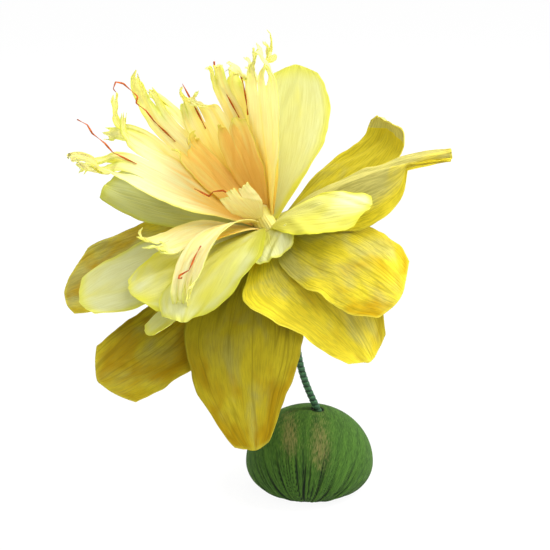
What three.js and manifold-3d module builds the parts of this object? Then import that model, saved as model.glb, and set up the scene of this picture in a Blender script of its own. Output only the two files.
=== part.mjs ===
// A crepe-paper flower on a leaning wrapped stem, standing in a paper-covered round base.
// Every petal, fringed strip and stamen is its own sheet of paper, seated on a taped bud at the
// top of the stem. Millimetres and degrees, +Z up, origin at the centre of the base's flat foot.
import * as THREE from "three";
import Module from "manifold-3d";
import { mergeVertices } from "three/addons/utils/BufferGeometryUtils.js";

// Papers and fits
const OUTER_PAPER = 0.5; // laminated heavy crepe of the outer petals
const INNER_PAPER = 0.3; // thin crepe of the pale petals
const STRIP_PAPER = 0.3; // thin crepe of the strips
const COVER_PAPER = 0.6; // pleated crepe over the base, doubled by its folds
const CLEARANCE = 0.3; // gap left between two pieces that touch

// Base: a weighted bun under a gathered paper cover
const BASE_WIDTH = 70;
const BASE_FOOT = 42; // diameter of the flat foot
const BASE_TUCK = 13.5; // height of the widest level
const BASE_DOME = 31; // rise from the widest level to the top
const HOLE_DIAMETER = 6.8; // torn hole in the cover for the stem
const HOLE_OFFSET = 4; // distance of the hole from the base's centre line
const BORE_DEPTH = 28; // how far the stem is pushed into the base

// Stem: a wire bound with paper tape
const WIRE_DIAMETER = 2;
const STEM_DIAMETER = 4.1;
const STEM_LEAN = 24; // lean to the left where the stem leaves the base
const STEM_SPRING = 45; // how far each end of the bend keeps its direction

// Flower head
const HEAD_CENTRE = new THREE.Vector3(-29, 1, 157); // top of the bud
const HEAD_LEAN = 29; // tilt to the left
const HEAD_NOD = 10.5; // tilt to the front

// Bud: the wad of tape that carries every sheet
const BUD_RADIUS = 5.5;
const BUD_SHOULDER = 3; // height of the cone under the lowest petals
const BUD_CROWN = 1.5; // height of the cone over the highest strips
const OUTER_TURNS = 5; // seats for outer petals, one above the other
const INNER_TURNS = 4; // seats for pale petals
const STRIP_TURNS = 4; // seats for the strips
const OUTER_PITCH = 2 * CLEARANCE + OUTER_PAPER;
const INNER_PITCH = 2 * CLEARANCE + INNER_PAPER;
const STRIP_PITCH = 5 * CLEARANCE + STRIP_PAPER; // steep strips need more height between them

// Sheets are named by their place round the head. turn is the direction round the head, 0 to the
// right and -90 to the front; seat is the place on the bud, counted from the lowest petals up.
// rise and tipRise are the slopes at root and tip, and bend is how late the slope changes. Pairs are
// for the two edges, the one at the smaller turn first. half is the greatest half width, at share
// widest of the length, and at share close the edge has come in to the half width tip; a high blunt
// squares the tip off. crease folds a half up along the middle, cup rolls its edge up. twist turns
// the sheet about its middle line.
const SHEET = {
  widest: 0.6, close: [1, 1], blunt: [2, 2], bend: 1, crease: [0, 0], cup: [0, 0], twist: 0,
};
const OPEN_SHARE = 0.5; // share of the length over which a sheet opens from flat to its full cup
const OUTER_SHAPE = { ...SHEET, root: 4, tip: 6 };
const OUTER_PETALS = [
  { name: "outer_petal_right_back", turn: 22, seat: 2, length: 90, half: [24, 20], rise: 0, tipRise: 150,
    bend: 8, blunt: [2.5, 2.5], tip: 10, cup: [5, 30] },
  { name: "outer_petal_right", turn: -11, seat: 4, length: 103, half: [25, 18], rise: 14, tipRise: -12,
    widest: 0.52, close: [0.76, 1], blunt: [2, 0.8], tip: 5, crease: [-40, -5], cup: [-10, -10] },
  { name: "outer_petal_right_front", turn: -48, seat: 3, length: 93, half: [27, 25], rise: 2, tipRise: -55,
    widest: 0.5, crease: [-6, -8], cup: [-5, -8] },
  { name: "outer_petal_front_right", turn: -69, seat: 2, length: 97, half: [34, 24], rise: 2, tipRise: -86,
    widest: 0.42, blunt: [1.15, 2], cup: [10, -15] },
  { name: "outer_petal_front", turn: -119, seat: 1, length: 117, half: [36, 35], rise: -7, tipRise: -66,
    widest: 0.5, blunt: [1.2, 1.3], cup: [24, -35] },
  { name: "outer_petal_front_left", turn: -157, seat: 0, length: 114, half: [27, 25], rise: -14, tipRise: 4,
    widest: 0.55, blunt: [3, 3], twist: -16, crease: [0, -28], tip: 10 },
  { name: "outer_petal_left", turn: 168, seat: 2, length: 123, half: [31, 26], rise: 8, tipRise: 2,
    blunt: [3, 3], crease: [20, -10], tip: 10 },
  { name: "outer_petal_left_back", turn: 138, seat: 1, length: 100, half: [24, 24], rise: -10, tipRise: -50,
    cup: [-15, -15] },
  { name: "outer_petal_back", turn: 100, seat: 0, length: 100, half: [24, 24], rise: -24, tipRise: -55,
    cup: [-15, -15] },
  { name: "outer_petal_back_right", turn: 62, seat: 1, length: 78, half: [20, 20], rise: -8, tipRise: -48,
    cup: [-15, -15] },
];

const INNER_SHAPE = { ...SHEET, root: 4, tip: 5 };
const INNER_PETALS = [
  { name: "inner_petal_right_back", turn: 44, seat: 6, length: 83, half: [27, 24], rise: 40, tipRise: 44,
    widest: 0.65, cup: [-25, 15] },
  { name: "inner_petal_right", turn: -30, seat: 6, length: 64, half: [22, 12], rise: 18, tipRise: -20,
    cup: [-10, 0] },
  { name: "inner_petal_front_right", turn: -82, seat: 5, length: 34, half: [13, 13], rise: 14, tipRise: -16,
    root: 3, cup: [8, 8] },
  { name: "inner_petal_front", turn: -118, seat: 8, length: 84, half: [26, 27], rise: 24, tipRise: -16,
    cup: [0, -10] },
  { name: "inner_petal_front_left", turn: -150, seat: 7, length: 76, half: [20, 27], rise: 15, tipRise: 8,
    twist: -18, crease: [0, -8] },
  { name: "inner_petal_front_low", turn: -145, seat: 5, length: 81, half: [15, 14], rise: 0, tipRise: -3,
    root: 3 },
  { name: "inner_petal_left", turn: -170, seat: 6, length: 101, half: [20, 21], rise: 15, tipRise: 4,
    twist: -25 },
  { name: "inner_petal_left_back", turn: 152, seat: 8, length: 91, half: [22, 24], rise: 34, tipRise: 27,
    cup: [15, 15] },
  { name: "inner_petal_back", turn: 115, seat: 6, length: 76, half: [19, 19], rise: 28, tipRise: 30,
    cup: [15, 15] },
  { name: "inner_petal_back_right", turn: 80, seat: 5, length: 76, half: [19, 19], rise: 24, tipRise: 28,
    cup: [15, 15] },
];

// Orange strips: short, with a square end, inside the fringed ones
const ORANGE_SHAPE = { ...SHEET, root: 3, tip: 7, blunt: [4, 4], cup: [8, 8] };
const ORANGE_STRIPS = [
  { name: "orange_strip_left", turn: 140, seat: 11, length: 54, half: [10, 9], rise: 68, tipRise: 69 },
  { name: "orange_strip_back", turn: 62, seat: 12, length: 49, half: [12, 11], rise: 78, tipRise: 71 },
];

// Fringed strips: slit from share fringe of the length to the end into fingers, each with its curl
const STRIP_SHAPE = { ...SHEET, root: 3, tip: 13, blunt: [3, 3], fringe: 0.85, cup: [15, 15] };
const SLIT_SHARE = 0.3; // width of a slit to width of a finger
const FRINGED_STRIPS = [
  { name: "fringed_strip_right", turn: 11, seat: 10, length: 92, half: [15, 15], rise: 63, tipRise: 65,
    twist: 25, curls: [20, 70, -20, 60, 30] },
  { name: "fringed_strip_back", turn: 50, seat: 9, length: 86, half: [16, 16], rise: 58, tipRise: 60,
    curls: [40, 20, 80, -10, 50] },
  { name: "fringed_strip_back_left", turn: 92, seat: 10, length: 84, half: [16, 16], rise: 64, tipRise: 62,
    curls: [-10, 70, 20, -15, 50] },
  { name: "fringed_strip_left_back", turn: 132, seat: 9, length: 92, half: [16, 16], rise: 58, tipRise: 58,
    curls: [60, 10, -15, -20, 40] },
  { name: "fringed_strip_left", turn: -174, seat: 10, length: 99, half: [15, 18], rise: 60, tipRise: 60,
    twist: -25, curls: [5, -20, -10, 10, 40] },
  { name: "fringed_strip_front_left", turn: -146, seat: 9, length: 64, half: [13, 12], rise: 42, tipRise: 5,
    root: 4.4, widest: 0.4, twist: -15, curls: [60, 90, 70, 110, 80] },
  { name: "fringed_strip_front", turn: -120, seat: 11, length: 78, half: [10, 10], rise: 47, tipRise: -37,
    root: 2.4, widest: 0.5, curls: [-20, 10, -30, 20, -10] },
  { name: "fringed_strip_front_short", turn: -92, seat: 12, length: 28, half: [9, 9], rise: 55, tipRise: 70,
    curls: [20, 40, 10, 30, 20] },
];

// Stamens: thin twisted paper, glued along a strip's inner face from glue[0] to glue[1] of its length
const STAMEN_RADIUS = 0.5;
const STAMENS = [
  { name: "stamen_right", strip: "fringed_strip_back", glue: [0.62, 0.8], across: 0.42,
    free: [[4, 0, 1], [8, -1, 2]] },
  { name: "stamen_back", strip: "fringed_strip_back_left", glue: [0.6, 0.8], across: -0.8,
    free: [[4, 0, 1], [8, 0.5, 1], [15, -4, 2]] },
  { name: "stamen_back_left", strip: "fringed_strip_back_left", glue: [0.64, 0.8], across: 0.4,
    free: [[6, 0, 1], [13, 0, 2]] },
  { name: "stamen_left_back", strip: "fringed_strip_left_back", glue: [0.66, 0.84], across: 0,
    free: [[6, 0, 2], [12, 2, 4], [14, -1, 5], [24, 0, 6], [27, 3, 7], [25, 7, 7], [21, 8, 8]] },
  { name: "stamen_left", strip: "fringed_strip_left", glue: [0.7, 0.84], across: 0,
    free: [[6, 0, 3], [14, 0, 5], [18, -3, 6], [24, -2, 7]] },
  { name: "stamen_front", strip: "fringed_strip_front", glue: [0.6, 0.8], across: 0,
    free: [[4, -3, 2], [7, -1, 3], [8, 3, 4]] },
  { name: "stamen_front_short", strip: "fringed_strip_front_short", glue: [0.5, 0.84], across: -0.2,
    free: [[4, -4, 3], [5, -9, 4], [2, -13, 5], [10, -17, 6]] },
];

// Mesh fineness
const SHEET_ROWS = 9;
const SHEET_COLUMNS = 6;
const STRIP_ROWS = 6; // rows before the fringe
const FINGER_ROWS = 3;
const SLOPE_STEPS = 24; // steps that a curved length is summed over
const NORMAL_STEP = 1e-3; // shares to either side of a point that its normal is taken from
const BASE_SIDES = 32;
const TUCK_STEPS = 7;
const DOME_STEPS = 9;
const BUD_SIDES = 16;
const BORE_SIDES = 20;
const STEM_SIDES = 10;
const STEM_STEPS = 24;
const STAMEN_SIDES = 6;
const STAMEN_STEPS = 4; // steps from one point of its path to the next
const WELD = 1e-4; // corners closer than this are one

const wasm = await Module();
wasm.setup();

const rad = THREE.MathUtils.degToRad;
const smooth = (x) => THREE.MathUtils.smoothstep(x, 0, 1);

// Solids for cutting

function solidOf(geometry) {
  const bare = geometry.clone().deleteAttribute("normal").deleteAttribute("uv");
  const merged = mergeVertices(bare, WELD);
  return new wasm.Manifold(
    new wasm.Mesh({
      numProp: 3,
      vertProperties: merged.attributes.position.array,
      triVerts: new Uint32Array(merged.index.array),
    }),
  );
}

function geometryOf(solid) {
  const mesh = solid.getMesh();
  const geometry = new THREE.BufferGeometry();
  geometry.setAttribute("position", new THREE.BufferAttribute(mesh.vertProperties, 3));
  geometry.setIndex(new THREE.BufferAttribute(mesh.triVerts, 1));
  geometry.computeVertexNormals();
  return geometry;
}

// Revolves a profile of [radius, height] pairs about +Z.
function lathe(profile, sides) {
  const points = profile.map(([radius, height]) => new THREE.Vector2(radius, height));
  return new THREE.LatheGeometry(points, sides).rotateX(Math.PI / 2);
}

// A round bar of the given radius between two points.
function bar(radius, from, to, sides) {
  const along = new THREE.Vector3().subVectors(to, from);
  const geometry = new THREE.CylinderGeometry(radius, radius, along.length(), sides);
  const up = new THREE.Vector3(0, 1, 0);
  geometry.applyQuaternion(new THREE.Quaternion().setFromUnitVectors(up, along.clone().normalize()));
  const middle = new THREE.Vector3().addVectors(from, to).multiplyScalar(0.5);
  return geometry.translate(middle.x, middle.y, middle.z);
}

// Materials

function finish(color, roughness, metalness = 0) {
  return new THREE.MeshStandardMaterial({ color, roughness, metalness });
}
const outerCrepe = finish(0xc9b62b, 0.85);
const paleCrepe = finish(0xf0ec86, 0.8);
const stripCrepe = finish(0xf7dc66, 0.8);
const budCrepe = finish(0xedbc46, 0.8);
const stamenTwist = finish(0xb5521a, 0.7);
const greenCrepe = finish(0x3f7a2a, 0.9);
const greenTape = finish(0x2f6b46, 0.8);
const wood = finish(0xb48a5a, 0.8);
const steel = finish(0x8a8d90, 0.4, 1);

function piece(name, geometry, material) {
  const mesh = new THREE.Mesh(geometry, material);
  mesh.name = name;
  return mesh;
}

// Base

// Half outline of the bun, shrunk inwards by inset, from the axis under the foot to the axis on top.
function bunProfile(inset) {
  const foot = BASE_FOOT / 2;
  const side = BASE_WIDTH / 2 - foot - inset;
  const profile = [[0, inset]];
  for (let i = 0; i <= TUCK_STEPS; i++) {
    const turn = (Math.PI / 2) * (1 - i / TUCK_STEPS);
    profile.push([foot + side * Math.cos(turn), BASE_TUCK - (BASE_TUCK - inset) * Math.sin(turn)]);
  }
  for (let i = 1; i < DOME_STEPS; i++) {
    const turn = ((Math.PI / 2) * i) / DOME_STEPS;
    profile.push([(foot + side) * Math.cos(turn), BASE_TUCK + (BASE_DOME - inset) * Math.sin(turn)]);
  }
  profile.push([0, BASE_TUCK + BASE_DOME - inset]);
  return profile;
}

const domeShare = Math.sqrt(1 - (HOLE_OFFSET / (BASE_WIDTH / 2)) ** 2);
const holeMouth = new THREE.Vector3(HOLE_OFFSET, 0, BASE_TUCK + BASE_DOME * domeShare);
const stemOut = new THREE.Vector3(-Math.sin(rad(STEM_LEAN)), 0, Math.cos(rad(STEM_LEAN)));
const boreFloor = holeMouth.clone().addScaledVector(stemOut, -BORE_DEPTH);
const aboveBase = holeMouth.clone().addScaledVector(stemOut, HOLE_DIAMETER);
const stemEnd = boreFloor.clone().addScaledVector(stemOut, CLEARANCE);
const boreRadius = STEM_DIAMETER / 2 + CLEARANCE;

function baseCore() {
  const bun = solidOf(lathe(bunProfile(COVER_PAPER + CLEARANCE), BASE_SIDES));
  const bore = solidOf(bar(boreRadius, boreFloor, aboveBase, BORE_SIDES));
  return geometryOf(bun.subtract(bore));
}

function baseCover() {
  const outside = solidOf(lathe(bunProfile(0), BASE_SIDES));
  const inside = solidOf(lathe(bunProfile(COVER_PAPER), BASE_SIDES));
  const underCover = holeMouth.clone().addScaledVector(stemOut, -HOLE_DIAMETER);
  const hole = solidOf(bar(HOLE_DIAMETER / 2, underCover, aboveBase, BORE_SIDES));
  return geometryOf(outside.subtract(inside).subtract(hole));
}

// Flower head frame: +Z is the axis the flower faces along

const head = new THREE.Group();
head.position.copy(HEAD_CENTRE);
head.rotation.set(rad(HEAD_NOD), rad(-HEAD_LEAN), 0);
head.updateMatrixWorld(true);
const headAxis = new THREE.Vector3(0, 0, 1).applyQuaternion(head.quaternion);

const seatsHeight = OUTER_TURNS * OUTER_PITCH + INNER_TURNS * INNER_PITCH + STRIP_TURNS * STRIP_PITCH;
const budHeight = BUD_SHOULDER + seatsHeight + BUD_CROWN;
const wireReach = budHeight - BUD_CROWN; // length of wire held in the bud
const budFoot = HEAD_CENTRE.clone().addScaledVector(headAxis, -budHeight);
const wireEnd = budFoot.clone().addScaledVector(headAxis, wireReach - CLEARANCE);

// Height of a seat under the top of the bud. Seats count from the lowest outer petals upwards.
function seatHeight(seat) {
  const outer = Math.min(seat, OUTER_TURNS);
  const inner = THREE.MathUtils.clamp(seat - OUTER_TURNS, 0, INNER_TURNS);
  const strips = Math.max(seat - OUTER_TURNS - INNER_TURNS, 0);
  const lowest = -budHeight + BUD_SHOULDER + OUTER_PAPER;
  return lowest + outer * OUTER_PITCH + inner * INNER_PITCH + strips * STRIP_PITCH;
}

function bud() {
  const profile = [
    [0, -budHeight],
    [STEM_DIAMETER / 2, -budHeight],
    [BUD_RADIUS, -budHeight + BUD_SHOULDER],
    [BUD_RADIUS, -BUD_CROWN],
    [0, 0],
  ];
  const wad = solidOf(lathe(profile, BUD_SIDES));
  const below = new THREE.Vector3(0, 0, -budHeight - BUD_SHOULDER);
  const roof = new THREE.Vector3(0, 0, -budHeight + wireReach);
  const bore = solidOf(bar(WIRE_DIAMETER / 2 + CLEARANCE, below, roof, BORE_SIDES));
  return geometryOf(wad.subtract(bore));
}

// Stem

// Straight in the base, one bend in the air, straight into the bud.
function stemPath(from, to) {
  const path = new THREE.CurvePath();
  const leave = aboveBase.clone().addScaledVector(stemOut, STEM_SPRING);
  const arrive = budFoot.clone().addScaledVector(headAxis, -STEM_SPRING);
  path.add(new THREE.LineCurve3(from, aboveBase));
  path.add(new THREE.CubicBezierCurve3(aboveBase, leave, arrive, budFoot));
  if (to) path.add(new THREE.LineCurve3(budFoot, to));
  return path;
}

function roundSection(radius, sides) {
  const points = [];
  for (let i = 0; i < sides; i++) {
    const turn = (2 * Math.PI * i) / sides;
    points.push(new THREE.Vector2(radius * Math.cos(turn), radius * Math.sin(turn)));
  }
  return points;
}

function stemWire() {
  const section = new THREE.Shape(roundSection(WIRE_DIAMETER / 2, STEM_SIDES));
  return new THREE.ExtrudeGeometry(section, { steps: STEM_STEPS, extrudePath: stemPath(stemEnd, wireEnd) });
}

function stemWrap() {
  const section = new THREE.Shape(roundSection(STEM_DIAMETER / 2, STEM_SIDES));
  section.holes.push(new THREE.Path(roundSection(WIRE_DIAMETER / 2 + CLEARANCE, STEM_SIDES)));
  return new THREE.ExtrudeGeometry(section, { steps: STEM_STEPS, extrudePath: stemPath(stemEnd) });
}

// Paper sheets, in a frame with X out from the head's axis, Y across and Z along the axis

const slopeAt = (sheet, s) => rad(sheet.rise + (sheet.tipRise - sheet.rise) * s ** sheet.bend);

// The sheet's centre line at share s of its length: [out, up].
function midrib(sheet, s) {
  const stride = (sheet.length * s) / SLOPE_STEPS;
  let out = BUD_RADIUS + CLEARANCE;
  let up = seatHeight(sheet.seat);
  for (let i = 0; i < SLOPE_STEPS; i++) {
    const slope = slopeAt(sheet, (s * (i + 0.5)) / SLOPE_STEPS);
    out += Math.cos(slope) * stride;
    up += Math.sin(slope) * stride;
  }
  return [out, up];
}

// Half width of one edge: grows from the root to the widest place, then rounds off to the tip.
function halfWidth(sheet, s, edge) {
  const half = sheet.half[edge];
  if (s <= sheet.widest) {
    const grown = Math.sin((Math.PI / 2) * (s / sheet.widest));
    return sheet.root + (half - sheet.root) * grown;
  }
  const past = Math.min(1, (s - sheet.widest) / (sheet.close[edge] - sheet.widest));
  const blunt = sheet.blunt[edge];
  return sheet.tip + (half - sheet.tip) * (1 - past ** blunt) ** (1 / blunt);
}

// A point of the sheet at share s of its length and t from -1 to 1 across it.
function surface(sheet, s, t) {
  const body = Math.min(s, sheet.fringe ?? 1);
  const edge = t < 0 ? 0 : 1;
  const side = t < 0 ? -1 : 1;
  const [out, up] = midrib(sheet, body);
  const slope = slopeAt(sheet, body);
  const opened = smooth(body / OPEN_SHARE); // every sheet is flat where it is taped to the bud
  const reach = halfWidth(sheet, body, edge) * Math.abs(t);
  const roll = rad(sheet.cup[edge]) * opened * Math.abs(t);
  const fold = rad(sheet.crease[edge] + side * sheet.twist) * opened + roll / 2;
  const chord = roll === 0 ? reach : (reach * Math.sin(roll / 2)) / (roll / 2);
  const across = side * chord * Math.cos(fold);
  const lift = chord * Math.sin(fold);
  const point = new THREE.Vector3(out - Math.sin(slope) * lift, across, up + Math.cos(slope) * lift);
  if (s > body) addFinger(point, sheet, s, t, slope);
  return point;
}

// Carries a point on from the start of the slits along its own curling finger.
function addFinger(point, sheet, s, t, slope) {
  const finger = Math.min(sheet.curls.length - 1, Math.floor(((t + 1) / 2) * sheet.curls.length));
  const reach = (s - sheet.fringe) / (1 - sheet.fringe);
  const stride = (sheet.length * (s - sheet.fringe)) / SLOPE_STEPS;
  for (let i = 0; i < SLOPE_STEPS; i++) {
    const share = (reach * (i + 0.5)) / SLOPE_STEPS;
    const angle = slope + rad(sheet.curls[finger]) * share;
    point.x += Math.cos(angle) * stride;
    point.z += Math.sin(angle) * stride;
  }
}

function normalAt(sheet, s, t) {
  const fore = surface(sheet, Math.min(1, s + NORMAL_STEP), t);
  const aft = surface(sheet, Math.max(0, s - NORMAL_STEP), t);
  const far = surface(sheet, s, Math.min(1, t + NORMAL_STEP));
  const near = surface(sheet, s, Math.max(-1, t - NORMAL_STEP));
  return fore.sub(aft).cross(far.sub(near)).normalize();
}

// A closed sheet from a grid of rows along and columns across. kept(row, column) leaves out slits.
function sheetSolid(sheet, thickness, rows, columns, kept) {
  const positions = [];
  const index = [];
  const corner = new Map();
  const vertex = (i, j, side) => {
    const key = `${i} ${j} ${side}`;
    if (!corner.has(key)) {
      const point = surface(sheet, rows[i], columns[j]);
      point.addScaledVector(normalAt(sheet, rows[i], columns[j]), (side * thickness) / 2);
      corner.set(key, positions.length / 3);
      positions.push(point.x, point.y, point.z);
    }
    return corner.get(key);
  };
  const quad = (a, b, c, d) => index.push(a, b, c, a, c, d);
  const inGrid = (i, j) => i >= 0 && j >= 0 && i < rows.length - 1 && j < columns.length - 1;
  const there = (i, j) => inGrid(i, j) && kept(i, j);
  for (let i = 0; i < rows.length - 1; i++) {
    for (let j = 0; j < columns.length - 1; j++) {
      if (!there(i, j)) continue;
      const ring = [[i, j], [i + 1, j], [i + 1, j + 1], [i, j + 1]];
      const beyond = [[i, j - 1], [i + 1, j], [i, j + 1], [i - 1, j]];
      const top = ring.map(([r, c]) => vertex(r, c, 1));
      const under = ring.map(([r, c]) => vertex(r, c, -1));
      quad(...top);
      quad(under[0], under[3], under[2], under[1]);
      beyond.forEach(([r, c], k) => {
        const next = (k + 1) % 4;
        if (!there(r, c)) quad(under[k], under[next], top[next], top[k]);
      });
    }
  }
  const geometry = new THREE.BufferGeometry();
  geometry.setAttribute("position", new THREE.Float32BufferAttribute(positions, 3));
  geometry.setIndex(index);
  geometry.computeVertexNormals();
  return geometry;
}

// Rows crowd together towards a round tip.
function petalSolid(sheet, thickness) {
  const rows = Array.from({ length: SHEET_ROWS + 1 }, (_, i) => Math.sin((Math.PI / 2) * (i / SHEET_ROWS)));
  const columns = Array.from({ length: SHEET_COLUMNS + 1 }, (_, j) => (2 * j) / SHEET_COLUMNS - 1);
  return sheetSolid(sheet, thickness, rows, columns, () => true);
}

// Columns alternate finger and slit; the slits are left out past the start of the fringe.
function stripSolid(sheet, thickness) {
  const fingers = sheet.curls.length;
  const pitch = 2 / fingers;
  const slit = (pitch * SLIT_SHARE) / (1 + SLIT_SHARE);
  const columns = [-1];
  for (let f = 0; f < fingers; f++) {
    const end = -1 + pitch * (f + 1);
    if (f < fingers - 1) columns.push(end - slit / 2, end + slit / 2);
  }
  columns.push(1);
  const rows = [];
  for (let i = 0; i < STRIP_ROWS; i++) rows.push((sheet.fringe * i) / STRIP_ROWS);
  for (let i = 0; i <= FINGER_ROWS; i++) rows.push(sheet.fringe + ((1 - sheet.fringe) * i) / FINGER_ROWS);
  return sheetSolid(sheet, thickness, rows, columns, (i, j) => i < STRIP_ROWS || j % 2 === 0);
}

function seated(mesh, turn) {
  mesh.rotation.z = rad(turn);
  return mesh;
}

for (const petal of OUTER_PETALS) {
  const sheet = { ...OUTER_SHAPE, ...petal };
  head.add(seated(piece(sheet.name, petalSolid(sheet, OUTER_PAPER), outerCrepe), sheet.turn));
}
for (const petal of INNER_PETALS) {
  const sheet = { ...INNER_SHAPE, ...petal };
  head.add(seated(piece(sheet.name, petalSolid(sheet, INNER_PAPER), paleCrepe), sheet.turn));
}
for (const strip of ORANGE_STRIPS) {
  const sheet = { ...ORANGE_SHAPE, ...strip };
  head.add(seated(piece(sheet.name, petalSolid(sheet, STRIP_PAPER), stripCrepe), sheet.turn));
}
const strips = new Map(FRINGED_STRIPS.map((strip) => [strip.name, { ...STRIP_SHAPE, ...strip }]));
for (const sheet of strips.values()) {
  head.add(seated(piece(sheet.name, stripSolid(sheet, STRIP_PAPER), stripCrepe), sheet.turn));
}

// A stamen lies on its strip between the two glue places, then kinks on through its free points,
// given as [on along the strip, across, off the strip] from the second place.
function stamenSolid(stamen, sheet) {
  const off = STRIP_PAPER / 2 + CLEARANCE + STAMEN_RADIUS;
  const glued = [0, 0.5, 1].map((share) => {
    const s = stamen.glue[0] + (stamen.glue[1] - stamen.glue[0]) * share;
    return surface(sheet, s, stamen.across).addScaledVector(normalAt(sheet, s, stamen.across), off);
  });
  const along = glued[2].clone().sub(glued[1]).normalize();
  const up = normalAt(sheet, stamen.glue[1], stamen.across);
  const side = up.clone().cross(along);
  const free = stamen.free.map(([on, across, lift]) =>
    glued[2].clone().addScaledVector(along, on).addScaledVector(side, across).addScaledVector(up, lift),
  );
  const path = new THREE.CatmullRomCurve3([...glued, ...free], false, "centripetal");
  const section = new THREE.Shape(roundSection(STAMEN_RADIUS, STAMEN_SIDES));
  const steps = STAMEN_STEPS * path.points.length;
  return new THREE.ExtrudeGeometry(section, { steps, extrudePath: path });
}

for (const stamen of STAMENS) {
  const sheet = strips.get(stamen.strip);
  head.add(seated(piece(stamen.name, stamenSolid(stamen, sheet), stamenTwist), sheet.turn));
}
head.add(piece("bud", bud(), budCrepe));

const flower = new THREE.Group();
flower.add(piece("base_core", baseCore(), wood));
flower.add(piece("base_cover", baseCover(), greenCrepe));
flower.add(piece("stem_wire", stemWire(), steel));
flower.add(piece("stem_wrap", stemWrap(), greenTape));
flower.add(head);

export default flower;
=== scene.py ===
import math

import bmesh
import bpy
import numpy as np
from mathutils import Matrix, Vector


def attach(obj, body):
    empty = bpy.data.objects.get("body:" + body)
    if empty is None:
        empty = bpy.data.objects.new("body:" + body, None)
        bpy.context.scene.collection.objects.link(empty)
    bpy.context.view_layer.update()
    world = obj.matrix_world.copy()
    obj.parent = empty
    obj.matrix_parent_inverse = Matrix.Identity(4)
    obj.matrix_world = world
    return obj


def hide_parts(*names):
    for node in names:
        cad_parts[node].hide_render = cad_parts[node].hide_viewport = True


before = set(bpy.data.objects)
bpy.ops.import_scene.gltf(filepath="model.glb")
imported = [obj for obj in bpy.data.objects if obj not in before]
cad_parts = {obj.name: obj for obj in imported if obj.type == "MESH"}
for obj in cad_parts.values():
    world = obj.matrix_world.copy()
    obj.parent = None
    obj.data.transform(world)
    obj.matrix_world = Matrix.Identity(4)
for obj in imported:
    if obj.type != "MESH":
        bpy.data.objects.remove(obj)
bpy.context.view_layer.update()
mm = 0.001
print("frame loaded:", len(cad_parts), "nodes")


# adds a node with its settings; each input takes a plain value, a socket or a node's first output
def addNode(tree, kind, inputs=None, **settings):
    node = tree.nodes.new(kind)
    for name, value in settings.items():
        setattr(node, name, value)
    for socket, value in (inputs or {}).items():
        if isinstance(value, bpy.types.Node):
            value = value.outputs[0]
        if isinstance(value, bpy.types.NodeSocket):
            tree.links.new(value, node.inputs[socket])
        else:
            node.inputs[socket].default_value = value
    return node


# sRGB hex to the linear colour a shader socket takes
def linear(hexColour):
    parts = [int(hexColour[i:i + 2], 16) / 255 for i in (1, 3, 5)]
    return tuple(c / 12.92 if c <= 0.04045 else ((c + 0.055) / 1.055) ** 2.4 for c in parts) + (1.0,)


def newMaterial(name):
    material = bpy.data.materials.new(name)
    material.use_nodes = True
    material.node_tree.nodes.clear()
    return material, material.node_tree


# camera, light and floor

cameraView = {"target": (-0.019, 0, 0.121), "distance": 0.81, "elevation": 18, "lens": 100, "farClip": 50}
lamps = {
    "keyLamp": {"place": (0.75, 0.0, 1.0), "size": 0.5, "watts": 15.0},
    "frontLamp": {"place": (0.35, -0.75, 1.15), "size": 0.8, "watts": 6.5},
    "backLamp": {"place": (-0.1, 0.75, 0.9), "size": 0.6, "watts": 9.0},  # comes through the thin sheets
}
stageLook = {"level": 0.3, "overhead": 1.05, "floorSize": 14, "floorColour": "#fbfbfb", "floorGlow": 0.94}
white = (1, 1, 1, 1)


# what the camera sees, straight or by a shiny or clear surface
def seenRays(tree):
    path = addNode(tree, "ShaderNodeLightPath").outputs
    seen = addNode(tree, "ShaderNodeMath", {0: path["Is Camera Ray"], 1: path["Is Glossy Ray"]}, operation="MAXIMUM")
    return addNode(tree, "ShaderNodeMath", {0: seen, 1: path["Is Transmission Ray"]}, operation="MAXIMUM")


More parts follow.
